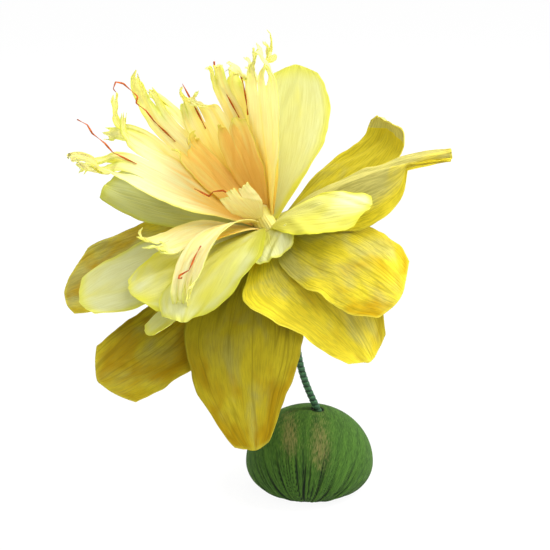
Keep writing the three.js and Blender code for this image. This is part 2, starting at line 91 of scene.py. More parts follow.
def buildStage():
    scene = bpy.context.scene
    scene.view_settings.view_transform = "Standard"
    tilt = math.radians(cameraView["elevation"])
    reach = cameraView["distance"]
    x, y, z = cameraView["target"]
    camera = bpy.data.objects.new("camera", bpy.data.cameras.new("camera"))
    camera.data.lens = cameraView["lens"]
    camera.data.clip_end = cameraView["farClip"]
    camera.location = (x, y - reach * math.cos(tilt), z + reach * math.sin(tilt))
    camera.rotation_euler = (math.pi / 2 - tilt, 0, 0)
    scene.collection.objects.link(camera)
    scene.camera = camera

    for name, lamp in lamps.items():
        light = bpy.data.lights.new(name, "AREA")
        light.shape = "DISK"
        light.size = lamp["size"]
        light.energy = lamp["watts"]
        holder = bpy.data.objects.new(name, light)
        holder.location = lamp["place"]
        toFlower = Vector((x, y, z)) - holder.location
        holder.rotation_euler = toFlower.to_track_quat("-Z", "Y").to_euler()
        scene.collection.objects.link(holder)

    # white surround, brightest overhead; what is seen of it is plain white
    world = bpy.data.worlds.new("studio")
    scene.world = world
    world.use_nodes = True
    tree = world.node_tree
    tree.nodes.clear()
    way = addNode(tree, "ShaderNodeTexCoord").outputs["Generated"]
    height = addNode(tree, "ShaderNodeSeparateXYZ", {0: way}).outputs["Z"]
    strength = addNode(tree, "ShaderNodeMapRange", {0: height, 1: 0.0, 2: 1.0, 3: stageLook["level"],
                                                    4: stageLook["overhead"]})
    dim = addNode(tree, "ShaderNodeBackground", {"Color": white, "Strength": strength})
    plain = addNode(tree, "ShaderNodeBackground", {"Color": white, "Strength": 1.0})
    mixed = addNode(tree, "ShaderNodeMixShader", {0: seenRays(tree), 1: dim, 2: plain})
    addNode(tree, "ShaderNodeOutputWorld", {"Surface": mixed})

    # white paper sweep that keeps a faint shadow
    sweep, tree = newMaterial("whiteSweep")
    share = addNode(tree, "ShaderNodeMath", {0: seenRays(tree), 1: stageLook["floorGlow"]}, operation="MULTIPLY")
    matte = addNode(tree, "ShaderNodeBsdfDiffuse", {"Color": linear(stageLook["floorColour"])})
    glow = addNode(tree, "ShaderNodeEmission", {"Color": white, "Strength": 1.0})
    mixed = addNode(tree, "ShaderNodeMixShader", {0: share, 1: matte, 2: glow})
    addNode(tree, "ShaderNodeOutputMaterial", {"Surface": mixed})
    half = stageLook["floorSize"] / 2
    mesh = bpy.data.meshes.new("floor")
    mesh.from_pydata([(-half, -half, 0), (half, -half, 0), (half, half, 0), (-half, half, 0)], [], [(0, 1, 2, 3)])
    mesh.materials.append(sweep)
    floor = bpy.data.objects.new("floor", mesh)
    scene.collection.objects.link(floor)


buildStage()
print("stage set")


# finishes

# Crepe paper: machine-creped tissue, dyed in the pulp and dry-brushed with water paint. Dull, finely
# ribbed along its length, and light comes through it, so a sheet lit from behind glows.
# Pitches, gaps and blotches are in millimetres; ribLength is how many pitches a rib runs.
crepeLooks = {
    "outerCrepe": {  # heavy crepe, two layers glued together: little light gets through
        "plain": "#d6ce74", "brushed": "#f2df38", "gilded": "#d2a80c", "rim": "#f2e650", "under": "#d0c984",
        "lit": "#f0d410", "valleyShade": "#5f560c", "shadeTint": "#868434", "ribPitch": 0.8, "ribLength": 9, "ribShade": 0.42,
        "creaseGap": 9, "creaseShade": 0.85, "blotch": (17, 24), "through": 0.18, "roughness": 0.9,
    },
    "paleCrepe": {  # one thin layer of lemon crepe
        "plain": "#f5f7d2", "brushed": "#f2ee74", "gilded": "#f2e83c", "rim": "#f4f23e", "under": "#e8edb4",
        "lit": "#f6f68c", "valleyShade": "#c8c23a", "shadeTint": "#aeb28c", "ribPitch": 0.8, "ribLength": 16, "ribShade": 0.35,
        "creaseGap": 7, "creaseShade": 0.5, "blotch": (20, 40), "through": 0.44, "roughness": 0.85,
    },
    "stripCrepe": {  # thin crepe dipped in orange dye at the foot
        "plain": "#f8f9d0", "brushed": "#fff29a", "gilded": "#ffd67c", "rim": "#d8e862", "under": "#f8f7c4",
        "lit": "#fff2a0", "valleyShade": "#e8b848", "shadeTint": "#e0c88c", "ribPitch": 0.8, "ribLength": 24, "ribShade": 0.35,
        "creaseGap": 4, "creaseShade": 0.8, "blotch": (4, 60), "through": 0.5, "roughness": 0.85,
    },
    "budCrepe": {  # the same thin crepe wound tight over the ends of the sheets
        "plain": "#f6f2a8", "brushed": "#f6ec7c", "gilded": "#f8e070", "rim": "#f6f09a", "under": "#f6eea0",
        "lit": "#f8e878", "valleyShade": "#e6cc58", "shadeTint": "#c8b070", "ribPitch": 0.6, "ribLength": 24, "ribShade": 0.6,
        "creaseGap": 3, "creaseShade": 0.6, "blotch": (4, 12), "through": 0.2, "roughness": 0.85,
    },
}
# what all crepe shares: how long and thin its creases are, where brushed paint fades out, how bare its
# under face is, how much painted shade its rib and crease valleys take, and its relief
crepeMarks = {"creaseLength": 22, "creaseLine": (0.006, 0.03), "litCreaseShare": 0.5, "brushEdge": (0.62, 1.12),
              "brushBreak": 0.16, "gildShift": 53.0, "underShare": 0.8, "ribValley": (0.36, 0.58),
              "valleyShare": 0.35, "creaseDrop": -0.6, "bump": 0.5, "bumpDepth": 0.35, "gloss": 0.12, "litShare": 0.5}


# noise on the paper's millimetre map, so wide and so long
def paperNoise(tree, uv, wide, long, shift=0.0, **inputs):
    place = addNode(tree, "ShaderNodeMapping", {"Vector": uv, "Location": (shift, shift, 0),
                                                "Scale": (1 / wide, 1 / long, 1)})
    return addNode(tree, "ShaderNodeTexNoise", {"Vector": place, "Scale": 1, **inputs}, noise_dimensions="2D")


def crepePaper(name, look):
    marks = crepeMarks
    material, tree = newMaterial(name)
    uv = addNode(tree, "ShaderNodeUVMap", uv_map="paperUv")  # millimetres across and along the sheet
    coat, gild, rim, under, paintedShade = (addNode(tree, "ShaderNodeAttribute", attribute_name=label).outputs["Fac"]
                                    for label in ("coat", "gild", "rim", "under", "paintedShade"))

    # crepe ribs drawn out along the sheet, and long thin creases with wide gaps between them
    pitch, gap = look["ribPitch"], look["creaseGap"]
    ribs = paperNoise(tree, uv, pitch, pitch * look["ribLength"], Detail=2, Roughness=0.6)
    field = paperNoise(tree, uv, gap, gap * marks["creaseLength"], Detail=1)
    field = addNode(tree, "ShaderNodeMath", {0: field, 1: 0.5}, operation="SUBTRACT")
    field = addNode(tree, "ShaderNodeMath", {0: field}, operation="ABSOLUTE")
    thin, faint = marks["creaseLine"]
    creases = addNode(tree, "ShaderNodeMapRange", {0: field, 1: thin, 2: faint, 3: 1.0, 4: 0.0})

    # brushed paint: the attribute says how much, the noise where, and the ribs break its edge
    uneven = marks["brushBreak"]
    broken = addNode(tree, "ShaderNodeMath", {0: ribs, 1: uneven, 2: -uneven / 2}, operation="MULTIPLY_ADD")
    start, full = marks["brushEdge"]
    layers = []
    for amount, shift, tint in ((coat, 0.0, "brushed"), (gild, marks["gildShift"], "gilded")):
        cloud = paperNoise(tree, uv, *look["blotch"], shift, Detail=2, Distortion=0.4)
        level = addNode(tree, "ShaderNodeMath", {0: cloud, 1: amount}, operation="ADD")
        level = addNode(tree, "ShaderNodeMath", {0: level, 1: broken}, operation="ADD")
        mask = addNode(tree, "ShaderNodeMapRange", {0: level, 1: start, 2: full, 3: 0.0, 4: 1.0},
                       interpolation_type="SMOOTHSTEP")
        layers.append((mask, tint))
    painted = linear(look["plain"])
    for share, tint in layers + [(rim, "rim")]:
        painted = addNode(tree, "ShaderNodeMix", {0: share, 6: painted, 7: linear(look[tint])},
                          data_type="RGBA").outputs[2]
    # painted shade deep in the flower, where other sheets shade the paper, and no paint on the under face
    shadedPaint = addNode(tree, "ShaderNodeMix", {0: 1.0, 6: painted, 7: linear(look["shadeTint"])}, data_type="RGBA",
                    blend_type="MULTIPLY").outputs[2]
    bare = addNode(tree, "ShaderNodeMath", {0: under, 1: marks["underShare"]}, operation="MULTIPLY")
    for share, tint in ((paintedShade, shadedPaint), (bare, linear(look["under"]))):
        painted = addNode(tree, "ShaderNodeMix", {0: share, 6: painted, 7: tint}, data_type="RGBA").outputs[2]

    # painted shade in the valleys of the ribs and creases; creases get most of it where the paper already has painted
    # shade
    deep, shallow = marks["ribValley"]
    ribTone = addNode(tree, "ShaderNodeMapRange", {0: ribs, 1: deep, 2: shallow, 3: look["ribShade"], 4: 0.0})
    creaseShadeDepth = addNode(tree, "ShaderNodeMapRange", {0: paintedShade, 3: marks["litCreaseShare"] * look["creaseShade"],
                                               4: look["creaseShade"]})
    creaseTone = addNode(tree, "ShaderNodeMath", {0: creases, 1: creaseShadeDepth}, operation="MULTIPLY")
    dark = addNode(tree, "ShaderNodeMath", {0: ribTone, 1: creaseTone}, operation="MAXIMUM")
    valleyShade = addNode(tree, "ShaderNodeMix", {0: marks["valleyShare"], 6: linear(look["valleyShade"]), 7: painted},
                     data_type="RGBA").outputs[2]
    shaded = addNode(tree, "ShaderNodeMix", {0: dark, 6: painted, 7: valleyShade}, data_type="RGBA").outputs[2]
    relief = addNode(tree, "ShaderNodeMath", {0: creases, 1: marks["creaseDrop"], 2: ribs}, operation="MULTIPLY_ADD")
    bump = addNode(tree, "ShaderNodeBump", {"Height": relief, "Strength": marks["bump"],
                                            "Distance": marks["bumpDepth"] * mm})

    body = addNode(tree, "ShaderNodeBsdfPrincipled", {"Base Color": shaded, "Roughness": look["roughness"],
                                                      "Specular IOR Level": marks["gloss"], "Normal": bump})
    litTone = addNode(tree, "ShaderNodeMix", {0: marks["litShare"], 6: shaded, 7: linear(look["lit"])},
                      data_type="RGBA").outputs[2]
    back = addNode(tree, "ShaderNodeBsdfTranslucent", {"Color": litTone, "Normal": bump})
    sheet = addNode(tree, "ShaderNodeMixShader", {0: look["through"], 1: body, 2: back})
    addNode(tree, "ShaderNodeOutputMaterial", {"Surface": sheet})
    return material


finishes = {name: crepePaper(name, look) for name, look in crepeLooks.items()}

# Twisted tissue dyed rust: dull, with paler fibres where the twist rubs.
stamenLook = {"dye": "#a04808", "rubbed": "#d06818", "fibre": 1.2, "tone": (0.4, 0.75), "bump": 0.4,
              "bumpDepth": 0.1, "roughness": 0.75, "gloss": 0.3}
# Gathered green crepe with a brown cast where the dye has faded on the pleats, and near-black painted shade in its
# grooves and where it tucks into the hole.
coverLook = {"deep": "#233f10", "green": "#44681f", "faded": "#7c6a44", "fold": "#0c1807", "pleat": 3.0,
             "pleatShare": 0.5, "ribPitch": 0.45, "ribLength": 8, "tone": (0.52, 0.98), "fadeBreak": 2.6,
             "fadeEdge": (1.8, 2.7), "fadeShare": 0.7, "grooveDark": 1.5, "bump": 0.5, "bumpDepth": 0.3,
             "roughness": 0.85, "gloss": 0.2}
# Waxed crepe tape, stretched as it is wound: a dark green with a dull gleam; each turn is painted darker where it runs
# under the step of the last, as painted shade, and lighter towards its raised edge, as painted highlight.
tapeLook = {"deep": "#11281a", "green": "#3f6b48", "ribPitch": 0.6, "ribLength": 3, "tone": (0.6, 1.4), "bump": 0.4,
            "bumpDepth": 0.2, "roughness": 0.6, "gloss": 0.25}
# Turned beech, painted dark brown all over as shade for the gap round the stem in the hole, with darker flecks along
# the grain.
coreLook = {"pale": "#5d4a33", "fleck": "#3f3122", "grain": 2.5, "grainLength": 10, "roughness": 0.7}
# Drawn steel wire: grey, with fine scratches along it.
wireLook = {"grey": "#8a8d90", "scratch": 0.3, "roughness": (0.3, 0.5)}


def newFinish(name):
    finishes[name], tree = newMaterial(name)
    return tree


# the end of a dull finish: its relief, shader and output
def dullSurface(tree, look, colour, height):
    bump = addNode(tree, "ShaderNodeBump", {"Height": height, "Strength": look["bump"],
                                            "Distance": look["bumpDepth"] * mm})
    paper = addNode(tree, "ShaderNodeBsdfPrincipled", {"Base Color": colour, "Roughness": look["roughness"],
                                                       "Specular IOR Level": look["gloss"], "Normal": bump})
    addNode(tree, "ShaderNodeOutputMaterial", {"Surface": paper})


def buildStamenTissue():
    look, tree = stamenLook, newFinish("stamenTissue")
    place = addNode(tree, "ShaderNodeTexCoord").outputs["Object"]
    fibres = addNode(tree, "ShaderNodeTexNoise", {"Vector": place, "Scale": 1 / (look["fibre"] * mm), "Detail": 3})
    low, high = look["tone"]
    tone = addNode(tree, "ShaderNodeMapRange", {0: fibres, 1: low, 2: high})
    colour = addNode(tree, "ShaderNodeMix", {0: tone, 6: linear(look["dye"]), 7: linear(look["rubbed"])},
                     data_type="RGBA").outputs[2]
    dullSurface(tree, look, colour, fibres)


def buildCoverCrepe():
    look, tree = coverLook, newFinish("coverCrepe")
    uv = addNode(tree, "ShaderNodeUVMap", uv_map="paperUv")
    worn, fold, tuck = (addNode(tree, "ShaderNodeAttribute", attribute_name=label).outputs["Fac"]
                        for label in ("worn", "fold", "tuck"))
    ribs = paperNoise(tree, uv, look["ribPitch"], look["ribPitch"] * look["ribLength"], Detail=2, Roughness=0.6)
    pleats = paperNoise(tree, uv, look["pleat"], look["pleat"] * look["ribLength"], Detail=2)
    low, high = look["tone"]
    tone = addNode(tree, "ShaderNodeMath", {0: pleats, 1: look["pleatShare"], 2: ribs}, operation="MULTIPLY_ADD")
    tone = addNode(tree, "ShaderNodeMapRange", {0: tone, 1: low, 2: high})
    # faded brown patches, broken up by the ribs
    start, full = look["fadeEdge"]
    faded = addNode(tree, "ShaderNodeMath", {0: ribs, 1: look["fadeBreak"], 2: worn}, operation="MULTIPLY_ADD")
    faded = addNode(tree, "ShaderNodeMapRange", {0: faded, 1: start, 2: full, 3: 0.0, 4: look["fadeShare"]})
    # painted shade, near black, in the grooves and where the paper is tucked into the hole
    groove = addNode(tree, "ShaderNodeMath", {0: fold, 1: look["grooveDark"]}, operation="MULTIPLY", use_clamp=True)
    grooveAndHoleShade = addNode(tree, "ShaderNodeMath", {0: groove, 1: tuck}, operation="MAXIMUM")
    colour = linear(look["deep"])
    for share, tint in ((tone, "green"), (faded, "faded"), (grooveAndHoleShade, "fold")):
        colour = addNode(tree, "ShaderNodeMix", {0: share, 6: colour, 7: linear(look[tint])},
                         data_type="RGBA").outputs[2]
    dullSurface(tree, look, colour, ribs)


def buildStemTape():
    look, tree = tapeLook, newFinish("stemTape")
    uv = addNode(tree, "ShaderNodeUVMap", uv_map="paperUv")
    turn = addNode(tree, "ShaderNodeAttribute", attribute_name="tapeTurn").outputs["Fac"]
    ribs = paperNoise(tree, uv, look["ribPitch"], look["ribPitch"] * look["ribLength"], Detail=3)
    # painted shade where each turn starts under the step of the last, painted highlight towards its raised edge
    tone = addNode(tree, "ShaderNodeMath", {0: ribs, 1: turn}, operation="ADD")
    low, high = look["tone"]
    tone = addNode(tree, "ShaderNodeMapRange", {0: tone, 1: low, 2: high})
    colour = addNode(tree, "ShaderNodeMix", {0: tone, 6: linear(look["deep"]), 7: linear(look["green"])},
                     data_type="RGBA").outputs[2]
    dullSurface(tree, look, colour, ribs)


def buildCoreBeech():
    look, tree = coreLook, newFinish("coreBeech")
    place = addNode(tree, "ShaderNodeTexCoord").outputs["Object"]
    along = addNode(tree, "ShaderNodeMapping", {"Vector": place, "Scale": (1, 1, 1 / look["grainLength"])})
    grain = addNode(tree, "ShaderNodeTexNoise", {"Vector": along, "Scale": 1 / (look["grain"] * mm), "Detail": 4})
    colour = addNode(tree, "ShaderNodeMix", {0: grain, 6: linear(look["pale"]), 7: linear(look["fleck"])},
                     data_type="RGBA").outputs[2]
    wood = addNode(tree, "ShaderNodeBsdfPrincipled", {"Base Color": colour, "Roughness": look["roughness"]})
    addNode(tree, "ShaderNodeOutputMaterial", {"Surface": wood})


def buildWireSteel():
    look, tree = wireLook, newFinish("wireSteel")
    place = addNode(tree, "ShaderNodeTexCoord").outputs["Object"]
    scratches = addNode(tree, "ShaderNodeTexNoise", {"Vector": place, "Scale": 1 / (look["scratch"] * mm), "Detail": 2})
    polished, dull = look["roughness"]
    rough = addNode(tree, "ShaderNodeMapRange", {0: scratches, 3: polished, 4: dull})
    steel = addNode(tree, "ShaderNodeBsdfPrincipled", {"Base Color": linear(look["grey"]), "Metallic": 1.0,
                                                       "Roughness": rough})
    addNode(tree, "ShaderNodeOutputMaterial", {"Surface": steel})


buildStamenTissue()
buildCoverCrepe()
buildStemTape()
buildCoreBeech()
buildWireSteel()
print("finishes made:", len(finishes))


# node trees that shape the paper

weldGap = 0.002  # millimetres; joins the edges of two faces of a sheet
sharpBend = 0.9  # radians; an edge that bends more stays crisp
ribDrift = {"wide": 0.3, "long": 30.0}  # how slowly a rib strays sideways, in ribs and in millimetres
tapeGirth = 13.0  # millimetres once round the stem, for the tape's map


def newTree(name, sizes, counts=()):
    tree = bpy.data.node_groups.new(name, "GeometryNodeTree")
    kinds = [("Geometry", "Geometry"), *((label, "Float") for label in sizes), *((label, "Int") for label in counts),
             ("Material", "Material")]
    for label, kind in kinds:
        tree.interface.new_socket(label, in_out="INPUT", socket_type="NodeSocket" + kind)
    tree.interface.new_socket("Geometry", in_out="OUTPUT", socket_type="NodeSocketGeometry")
    return tree, addNode(tree, "NodeGroupInput").outputs


# moves every point along its normal
def liftSheet(tree, sheet, lift):
    normal = addNode(tree, "GeometryNodeInputNormal")
    shift = addNode(tree, "ShaderNodeVectorMath", {0: normal, "Scale": lift}, operation="SCALE")
    return addNode(tree, "GeometryNodeSetPosition", {"Geometry": sheet, "Offset": shift})


# joins two faces of a sheet along their edges, shaded smooth
def weldFaces(tree, first, second):
    joined = addNode(tree, "GeometryNodeJoinGeometry", {"Geometry": first})
    tree.links.new(second.outputs[0], joined.inputs[0])
    closed = addNode(tree, "GeometryNodeMergeByDistance", {"Geometry": joined, "Distance": weldGap * mm})
    return addNode(tree, "GeometryNodeSetShadeSmooth", {"Geometry": closed, "Shade Smooth": True})


def endTree(tree, mesh, material):
    real = addNode(tree, "GeometryNodeRealizeInstances", {"Geometry": mesh})
    painted = addNode(tree, "GeometryNodeSetMaterial", {"Geometry": real, "Material": material})
    addNode(tree, "NodeGroupOutput", {0: painted})
    return tree


# gives the sheet its thickness to both sides, closes it all round, keeps its edges crisp
def closeSheet(tree, sheet, given):
    thickness = given["Paper Thickness"]
    down = addNode(tree, "ShaderNodeMath", {0: thickness, 1: -0.5}, operation="MULTIPLY")
    under = liftSheet(tree, sheet, down)
    above = addNode(tree, "GeometryNodeExtrudeMesh", {"Mesh": under, "Offset Scale": thickness, "Individual": False})
    turned = addNode(tree, "GeometryNodeFlipFaces", {"Mesh": under})
    turned = addNode(tree, "GeometryNodeStoreNamedAttribute", {"Geometry": turned, "Name": "under", "Value": 1.0},
                     domain="FACE")
    rounded = weldFaces(tree, turned, above)
    bend = addNode(tree, "GeometryNodeInputMeshEdgeAngle")
    sharp = addNode(tree, "FunctionNodeCompare", {0: bend, 1: sharpBend}, operation="GREATER_THAN")
    crisp = addNode(tree, "GeometryNodeSetShadeSmooth", {"Geometry": rounded, "Selection": sharp,
                                                         "Shade Smooth": False}, domain="EDGE")
    return endTree(tree, crisp, given["Material"])


# crepe sheet: ribs that run along it and stray a little, soft gathers and small crinkles
def crepeTree():
    tree, given = newTree("crepeSheet", ["Paper Thickness", "Rib Pitch", "Rib Depth", "Gather Width", "Gather Depth",
                                         "Crinkle Size", "Crinkle Depth", "Seed"])
    across, along, free = (addNode(tree, "GeometryNodeInputNamedAttribute", {"Name": label}).outputs["Attribute"]
                           for label in ("across", "along", "free"))
    ribCount = addNode(tree, "ShaderNodeMath", {0: across, 1: given["Rib Pitch"]}, operation="DIVIDE")
    slow = addNode(tree, "ShaderNodeMath", {0: along, 1: ribDrift["long"]}, operation="DIVIDE")
    drift = addNode(tree, "ShaderNodeMath", {0: ribCount, 1: ribDrift["wide"]}, operation="MULTIPLY")
    place = addNode(tree, "ShaderNodeCombineXYZ", {0: drift, 1: slow, 2: given["Seed"]})
    stray = addNode(tree, "ShaderNodeTexNoise", {"Vector": place, "Scale": 1.0, "Detail": 1.0})
    phase = addNode(tree, "ShaderNodeMath", {0: stray, 1: ribCount}, operation="ADD")
    angle = addNode(tree, "ShaderNodeMath", {0: phase, 1: 2 * math.pi}, operation="MULTIPLY")
    wave = addNode(tree, "ShaderNodeMath", {0: angle}, operation="SINE")
    lift = addNode(tree, "ShaderNodeMath", {0: wave, 1: given["Rib Depth"]}, operation="MULTIPLY")

    # gathers are drawn out along the sheet, crinkles are as long as wide
    for size, depth, stretch, gain, noise in (
            ("Gather Width", "Gather Depth", 6.0, 3.0, {"Detail": 1.5, "Roughness": 0.45}),
            ("Crinkle Size", "Crinkle Depth", 1.0, 2.0, {"Detail": 2.0})):
        wide = addNode(tree, "ShaderNodeMath", {0: across, 1: given[size]}, operation="DIVIDE")
        length = addNode(tree, "ShaderNodeMath", {0: given[size], 1: stretch}, operation="MULTIPLY")
        long = addNode(tree, "ShaderNodeMath", {0: along, 1: length}, operation="DIVIDE")
        place = addNode(tree, "ShaderNodeCombineXYZ", {0: wide, 1: long, 2: given["Seed"]})
        folds = addNode(tree, "ShaderNodeTexNoise", {"Vector": place, "Scale": 1.0, **noise})
        folds = addNode(tree, "ShaderNodeMath", {0: folds, 1: 0.5}, operation="SUBTRACT")
        folds = addNode(tree, "ShaderNodeMath", {0: folds, 1: given[depth]}, operation="MULTIPLY")
        lift = addNode(tree, "ShaderNodeMath", {0: folds, 1: gain, 2: lift}, operation="MULTIPLY_ADD")
    lift = addNode(tree, "ShaderNodeMath", {0: lift, 1: free}, operation="MULTIPLY")
    return closeSheet(tree, liftSheet(tree, given["Geometry"], lift), given)


# gathered cover: grooves fan out from where the paper is drawn together and fade out higher up
def pleatTree():
    tree, given = newTree("pleatedCover", ["Paper Thickness", "Pleats", "Pleat Depth", "Pleat Drift", "Groove Width",
                                           "Swell Depth", "Seed"])
    turn, level, free = (addNode(tree, "GeometryNodeInputNamedAttribute", {"Name": label}).outputs["Attribute"]
                         for label in ("turn", "level", "free"))
    around = addNode(tree, "ShaderNodeMath", {0: turn, 1: given["Pleats"]}, operation="MULTIPLY")
    away = addNode(tree, "ShaderNodeMath", {0: level, 1: given["Pleat Drift"]}, operation="MULTIPLY")
    place = addNode(tree, "ShaderNodeCombineXYZ", {0: around, 1: away, 2: given["Seed"]})
    folds = addNode(tree, "ShaderNodeTexNoise", {"Vector": place, "Scale": 1.0, "Detail": 1.5})
    height = addNode(tree, "ShaderNodeMath", {0: folds, 1: 0.5}, operation="SUBTRACT")
    groove = addNode(tree, "ShaderNodeMath", {0: height}, operation="ABSOLUTE")
    groove = addNode(tree, "ShaderNodeMapRange", {0: groove, 1: 0.0, 2: given["Groove Width"], 3: 1.0, 4: 0.0})
    groove = addNode(tree, "ShaderNodeMath", {0: groove, 1: free}, operation="MULTIPLY")
    # the grooves are kept as fold, the mask of the painted shade in them
    marked = addNode(tree, "GeometryNodeStoreNamedAttribute", {"Geometry": given["Geometry"], "Name": "fold",
                                                               "Value": groove})
    swell = addNode(tree, "ShaderNodeMath", {0: height, 1: free}, operation="MULTIPLY")
    swell = addNode(tree, "ShaderNodeMath", {0: swell, 1: given["Swell Depth"]}, operation="MULTIPLY")
    sunk = addNode(tree, "ShaderNodeMath", {0: given["Pleat Depth"], 1: -1.0}, operation="MULTIPLY")
    lift = addNode(tree, "ShaderNodeMath", {0: groove, 1: sunk, 2: swell}, operation="MULTIPLY_ADD")
    return closeSheet(tree, liftSheet(tree, marked, lift), given)


# tape wound round a path: each turn overlaps the last and leaves a small step
def tapeTree():
    tree, given = newTree("woundTape", ["Stem Radius", "Wall", "Tape Pitch", "Tape Step"], ["Rings", "Sides"])
    path = addNode(tree, "GeometryNodeMeshToCurve", {"Mesh": given["Geometry"]})
    path = addNode(tree, "GeometryNodeResampleCurve", {"Curve": path, "Count": given["Rings"]}, mode="COUNT")
    ring = addNode(tree, "GeometryNodeCurvePrimitiveCircle", {"Resolution": given["Sides"],
                                                              "Radius": given["Stem Radius"]})
    spline = addNode(tree, "GeometryNodeSplineParameter").outputs
    path = addNode(tree, "GeometryNodeStoreNamedAttribute", {"Geometry": path, "Name": "pathLength",
                                                             "Value": spline["Length"]})
    ring = addNode(tree, "GeometryNodeStoreNamedAttribute", {"Geometry": ring, "Name": "ringShare",
                                                             "Value": spline["Factor"]})
    tube = addNode(tree, "GeometryNodeCurveToMesh", {"Curve": path, "Profile Curve": ring})
    reach, share = (addNode(tree, "GeometryNodeInputNamedAttribute", {"Name": label}).outputs["Attribute"]
                    for label in ("pathLength", "ringShare"))
    turns = addNode(tree, "ShaderNodeMath", {0: reach, 1: given["Tape Pitch"]}, operation="DIVIDE")
    turns = addNode(tree, "ShaderNodeMath", {0: turns, 1: share}, operation="ADD")
    place = addNode(tree, "ShaderNodeMath", {0: turns}, operation="FRACT")
    tube = addNode(tree, "GeometryNodeStoreNamedAttribute", {"Geometry": tube, "Name": "tapeTurn", "Value": place})
    step = addNode(tree, "ShaderNodeMath", {0: place, 1: 1.0}, operation="SUBTRACT")
    step = addNode(tree, "ShaderNodeMath", {0: step, 1: given["Tape Step"]}, operation="MULTIPLY")
    wound = liftSheet(tree, tube, step)
    acrossMm = addNode(tree, "ShaderNodeMath", {0: share, 1: tapeGirth}, operation="MULTIPLY")
    alongMm = addNode(tree, "ShaderNodeMath", {0: reach, 1: 1000.0}, operation="MULTIPLY")
    uv = addNode(tree, "ShaderNodeCombineXYZ", {0: alongMm, 1: acrossMm})
    wound = addNode(tree, "GeometryNodeStoreNamedAttribute", {"Geometry": wound, "Name": "paperUv", "Value": uv},
                    data_type="FLOAT2", domain="CORNER")
    inwards = addNode(tree, "ShaderNodeMath", {0: given["Wall"], 1: -1.0}, operation="MULTIPLY")
    inner = addNode(tree, "GeometryNodeExtrudeMesh", {"Mesh": wound, "Offset Scale": inwards, "Individual": False})
    inner = addNode(tree, "GeometryNodeFlipFaces", {"Mesh": inner})
    return endTree(tree, weldFaces(tree, wound, inner), given["Material"])


# twisted strip of tissue along a kinked path
def twistTree():
    tree, given = newTree("twistedTissue", ["Width", "Thickness", "Twist Pitch"], ["Rings", "Sides"])
    path = addNode(tree, "GeometryNodeMeshToCurve", {"Mesh": given["Geometry"]})
    path = addNode(tree, "GeometryNodeResampleCurve", {"Curve": path, "Count": given["Rings"]}, mode="COUNT")
    reach = addNode(tree, "GeometryNodeSplineParameter").outputs["Length"]
    turns = addNode(tree, "ShaderNodeMath", {0: reach, 1: given["Twist Pitch"]}, operation="DIVIDE")
    tilt = addNode(tree, "ShaderNodeMath", {0: turns, 1: 2 * math.pi}, operation="MULTIPLY")
    path = addNode(tree, "GeometryNodeSetCurveTilt", {"Curve": path, "Tilt": tilt})
    ring = addNode(tree, "GeometryNodeCurvePrimitiveCircle", {"Resolution": given["Sides"], "Radius": 0.5})
    flat = addNode(tree, "ShaderNodeCombineXYZ", {0: given["Width"], 1: given["Thickness"], 2: 1.0})
    ring = addNode(tree, "GeometryNodeTransform", {"Geometry": ring, "Scale": flat})
    strip = addNode(tree, "GeometryNodeCurveToMesh", {"Curve": path, "Profile Curve": ring, "Fill Caps": True})
    rounded = addNode(tree, "GeometryNodeSetShadeSmooth", {"Geometry": strip, "Shade Smooth": True})
    return endTree(tree, rounded, given["Material"])


trees = {"crepe": crepeTree(), "pleats": pleatTree(), "tape": tapeTree(), "twist": twistTree()}
print("node trees built:", len(trees))


# runs a tree on a mesh, keeps the result as a plain mesh and hands it to the frame
def makePiece(mesh, tree, values, node):
    piece = bpy.data.objects.new(node + "_paper", mesh)
    bpy.context.scene.collection.objects.link(piece)
    modifier = piece.modifiers.new("shape", "NODES")
    modifier.node_group = tree
    for item in tree.interface.items_tree:
        if item.in_out == "INPUT" and item.name in values:
            modifier[item.identifier] = values[item.name]
    graph = bpy.context.evaluated_depsgraph_get()
    shaped = bpy.data.meshes.new_from_object(piece.evaluated_get(graph), preserve_all_data_layers=True,
                                             depsgraph=graph)
    piece.modifiers.remove(modifier)
    piece.data = shaped
    bpy.data.meshes.remove(mesh)
    shaped.name = piece.name
    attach(piece, "root")
    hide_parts(node)


# a crepe sheet, with the ribs, gathers and crinkles of its family
def makeCrepe(mesh, look, seed, node):
    makePiece(mesh, trees["crepe"], {
        "Paper Thickness": look["paper"] * mm, "Rib Pitch": look["ribPitch"], "Rib Depth": look["ribDepth"] * mm,
        "Gather Width": look["gatherWidth"], "Gather Depth": look["gatherDepth"] * mm,
        "Crinkle Size": look["crinkleSize"], "Crinkle Depth": look["crinkleDepth"] * mm,
        "Seed": float(seed), "Material": finishes[look["finish"]]}, node)


# a grid of points as a mesh, with its millimetre map and named values; keep leaves cells out
def gridMesh(name, points, uv, values, keep=None, ring=False):
    rows, columns = points.shape[:2]
    mesh = bpy.data.meshes.new(name)
    index = np.arange(rows * columns).reshape(rows, columns)
    faces = []
    for i in range(rows - 1):
        for j in range(columns if ring else columns - 1):
            k = (j + 1) % columns
            if keep is None or keep(i, j):
                faces.append((index[i, j], index[i + 1, j], index[i + 1, k], index[i, k]))
    used = np.unique(np.array(faces))
    renumber = np.full(rows * columns, -1)
    renumber[used] = np.arange(len(used))
    mesh.from_pydata(points.reshape(-1, 3)[used].tolist(), [], renumber[np.array(faces)].tolist())
    flatUv = uv.reshape(-1, 2)[used]
    layer = mesh.uv_layers.new(name="paperUv")
    corners = np.zeros(len(mesh.loops), dtype=np.int32)
    mesh.loops.foreach_get("vertex_index", corners)
    layer.data.foreach_set("uv", flatUv[corners].astype(np.float32).ravel())
    for label, value in values.items():
        attribute = mesh.attributes.new(label, "FLOAT", "POINT")
        flatValue = np.broadcast_to(value, (rows, columns)).reshape(-1)[used]
        attribute.data.foreach_set("value", flatValue.astype(np.float32))
    return mesh


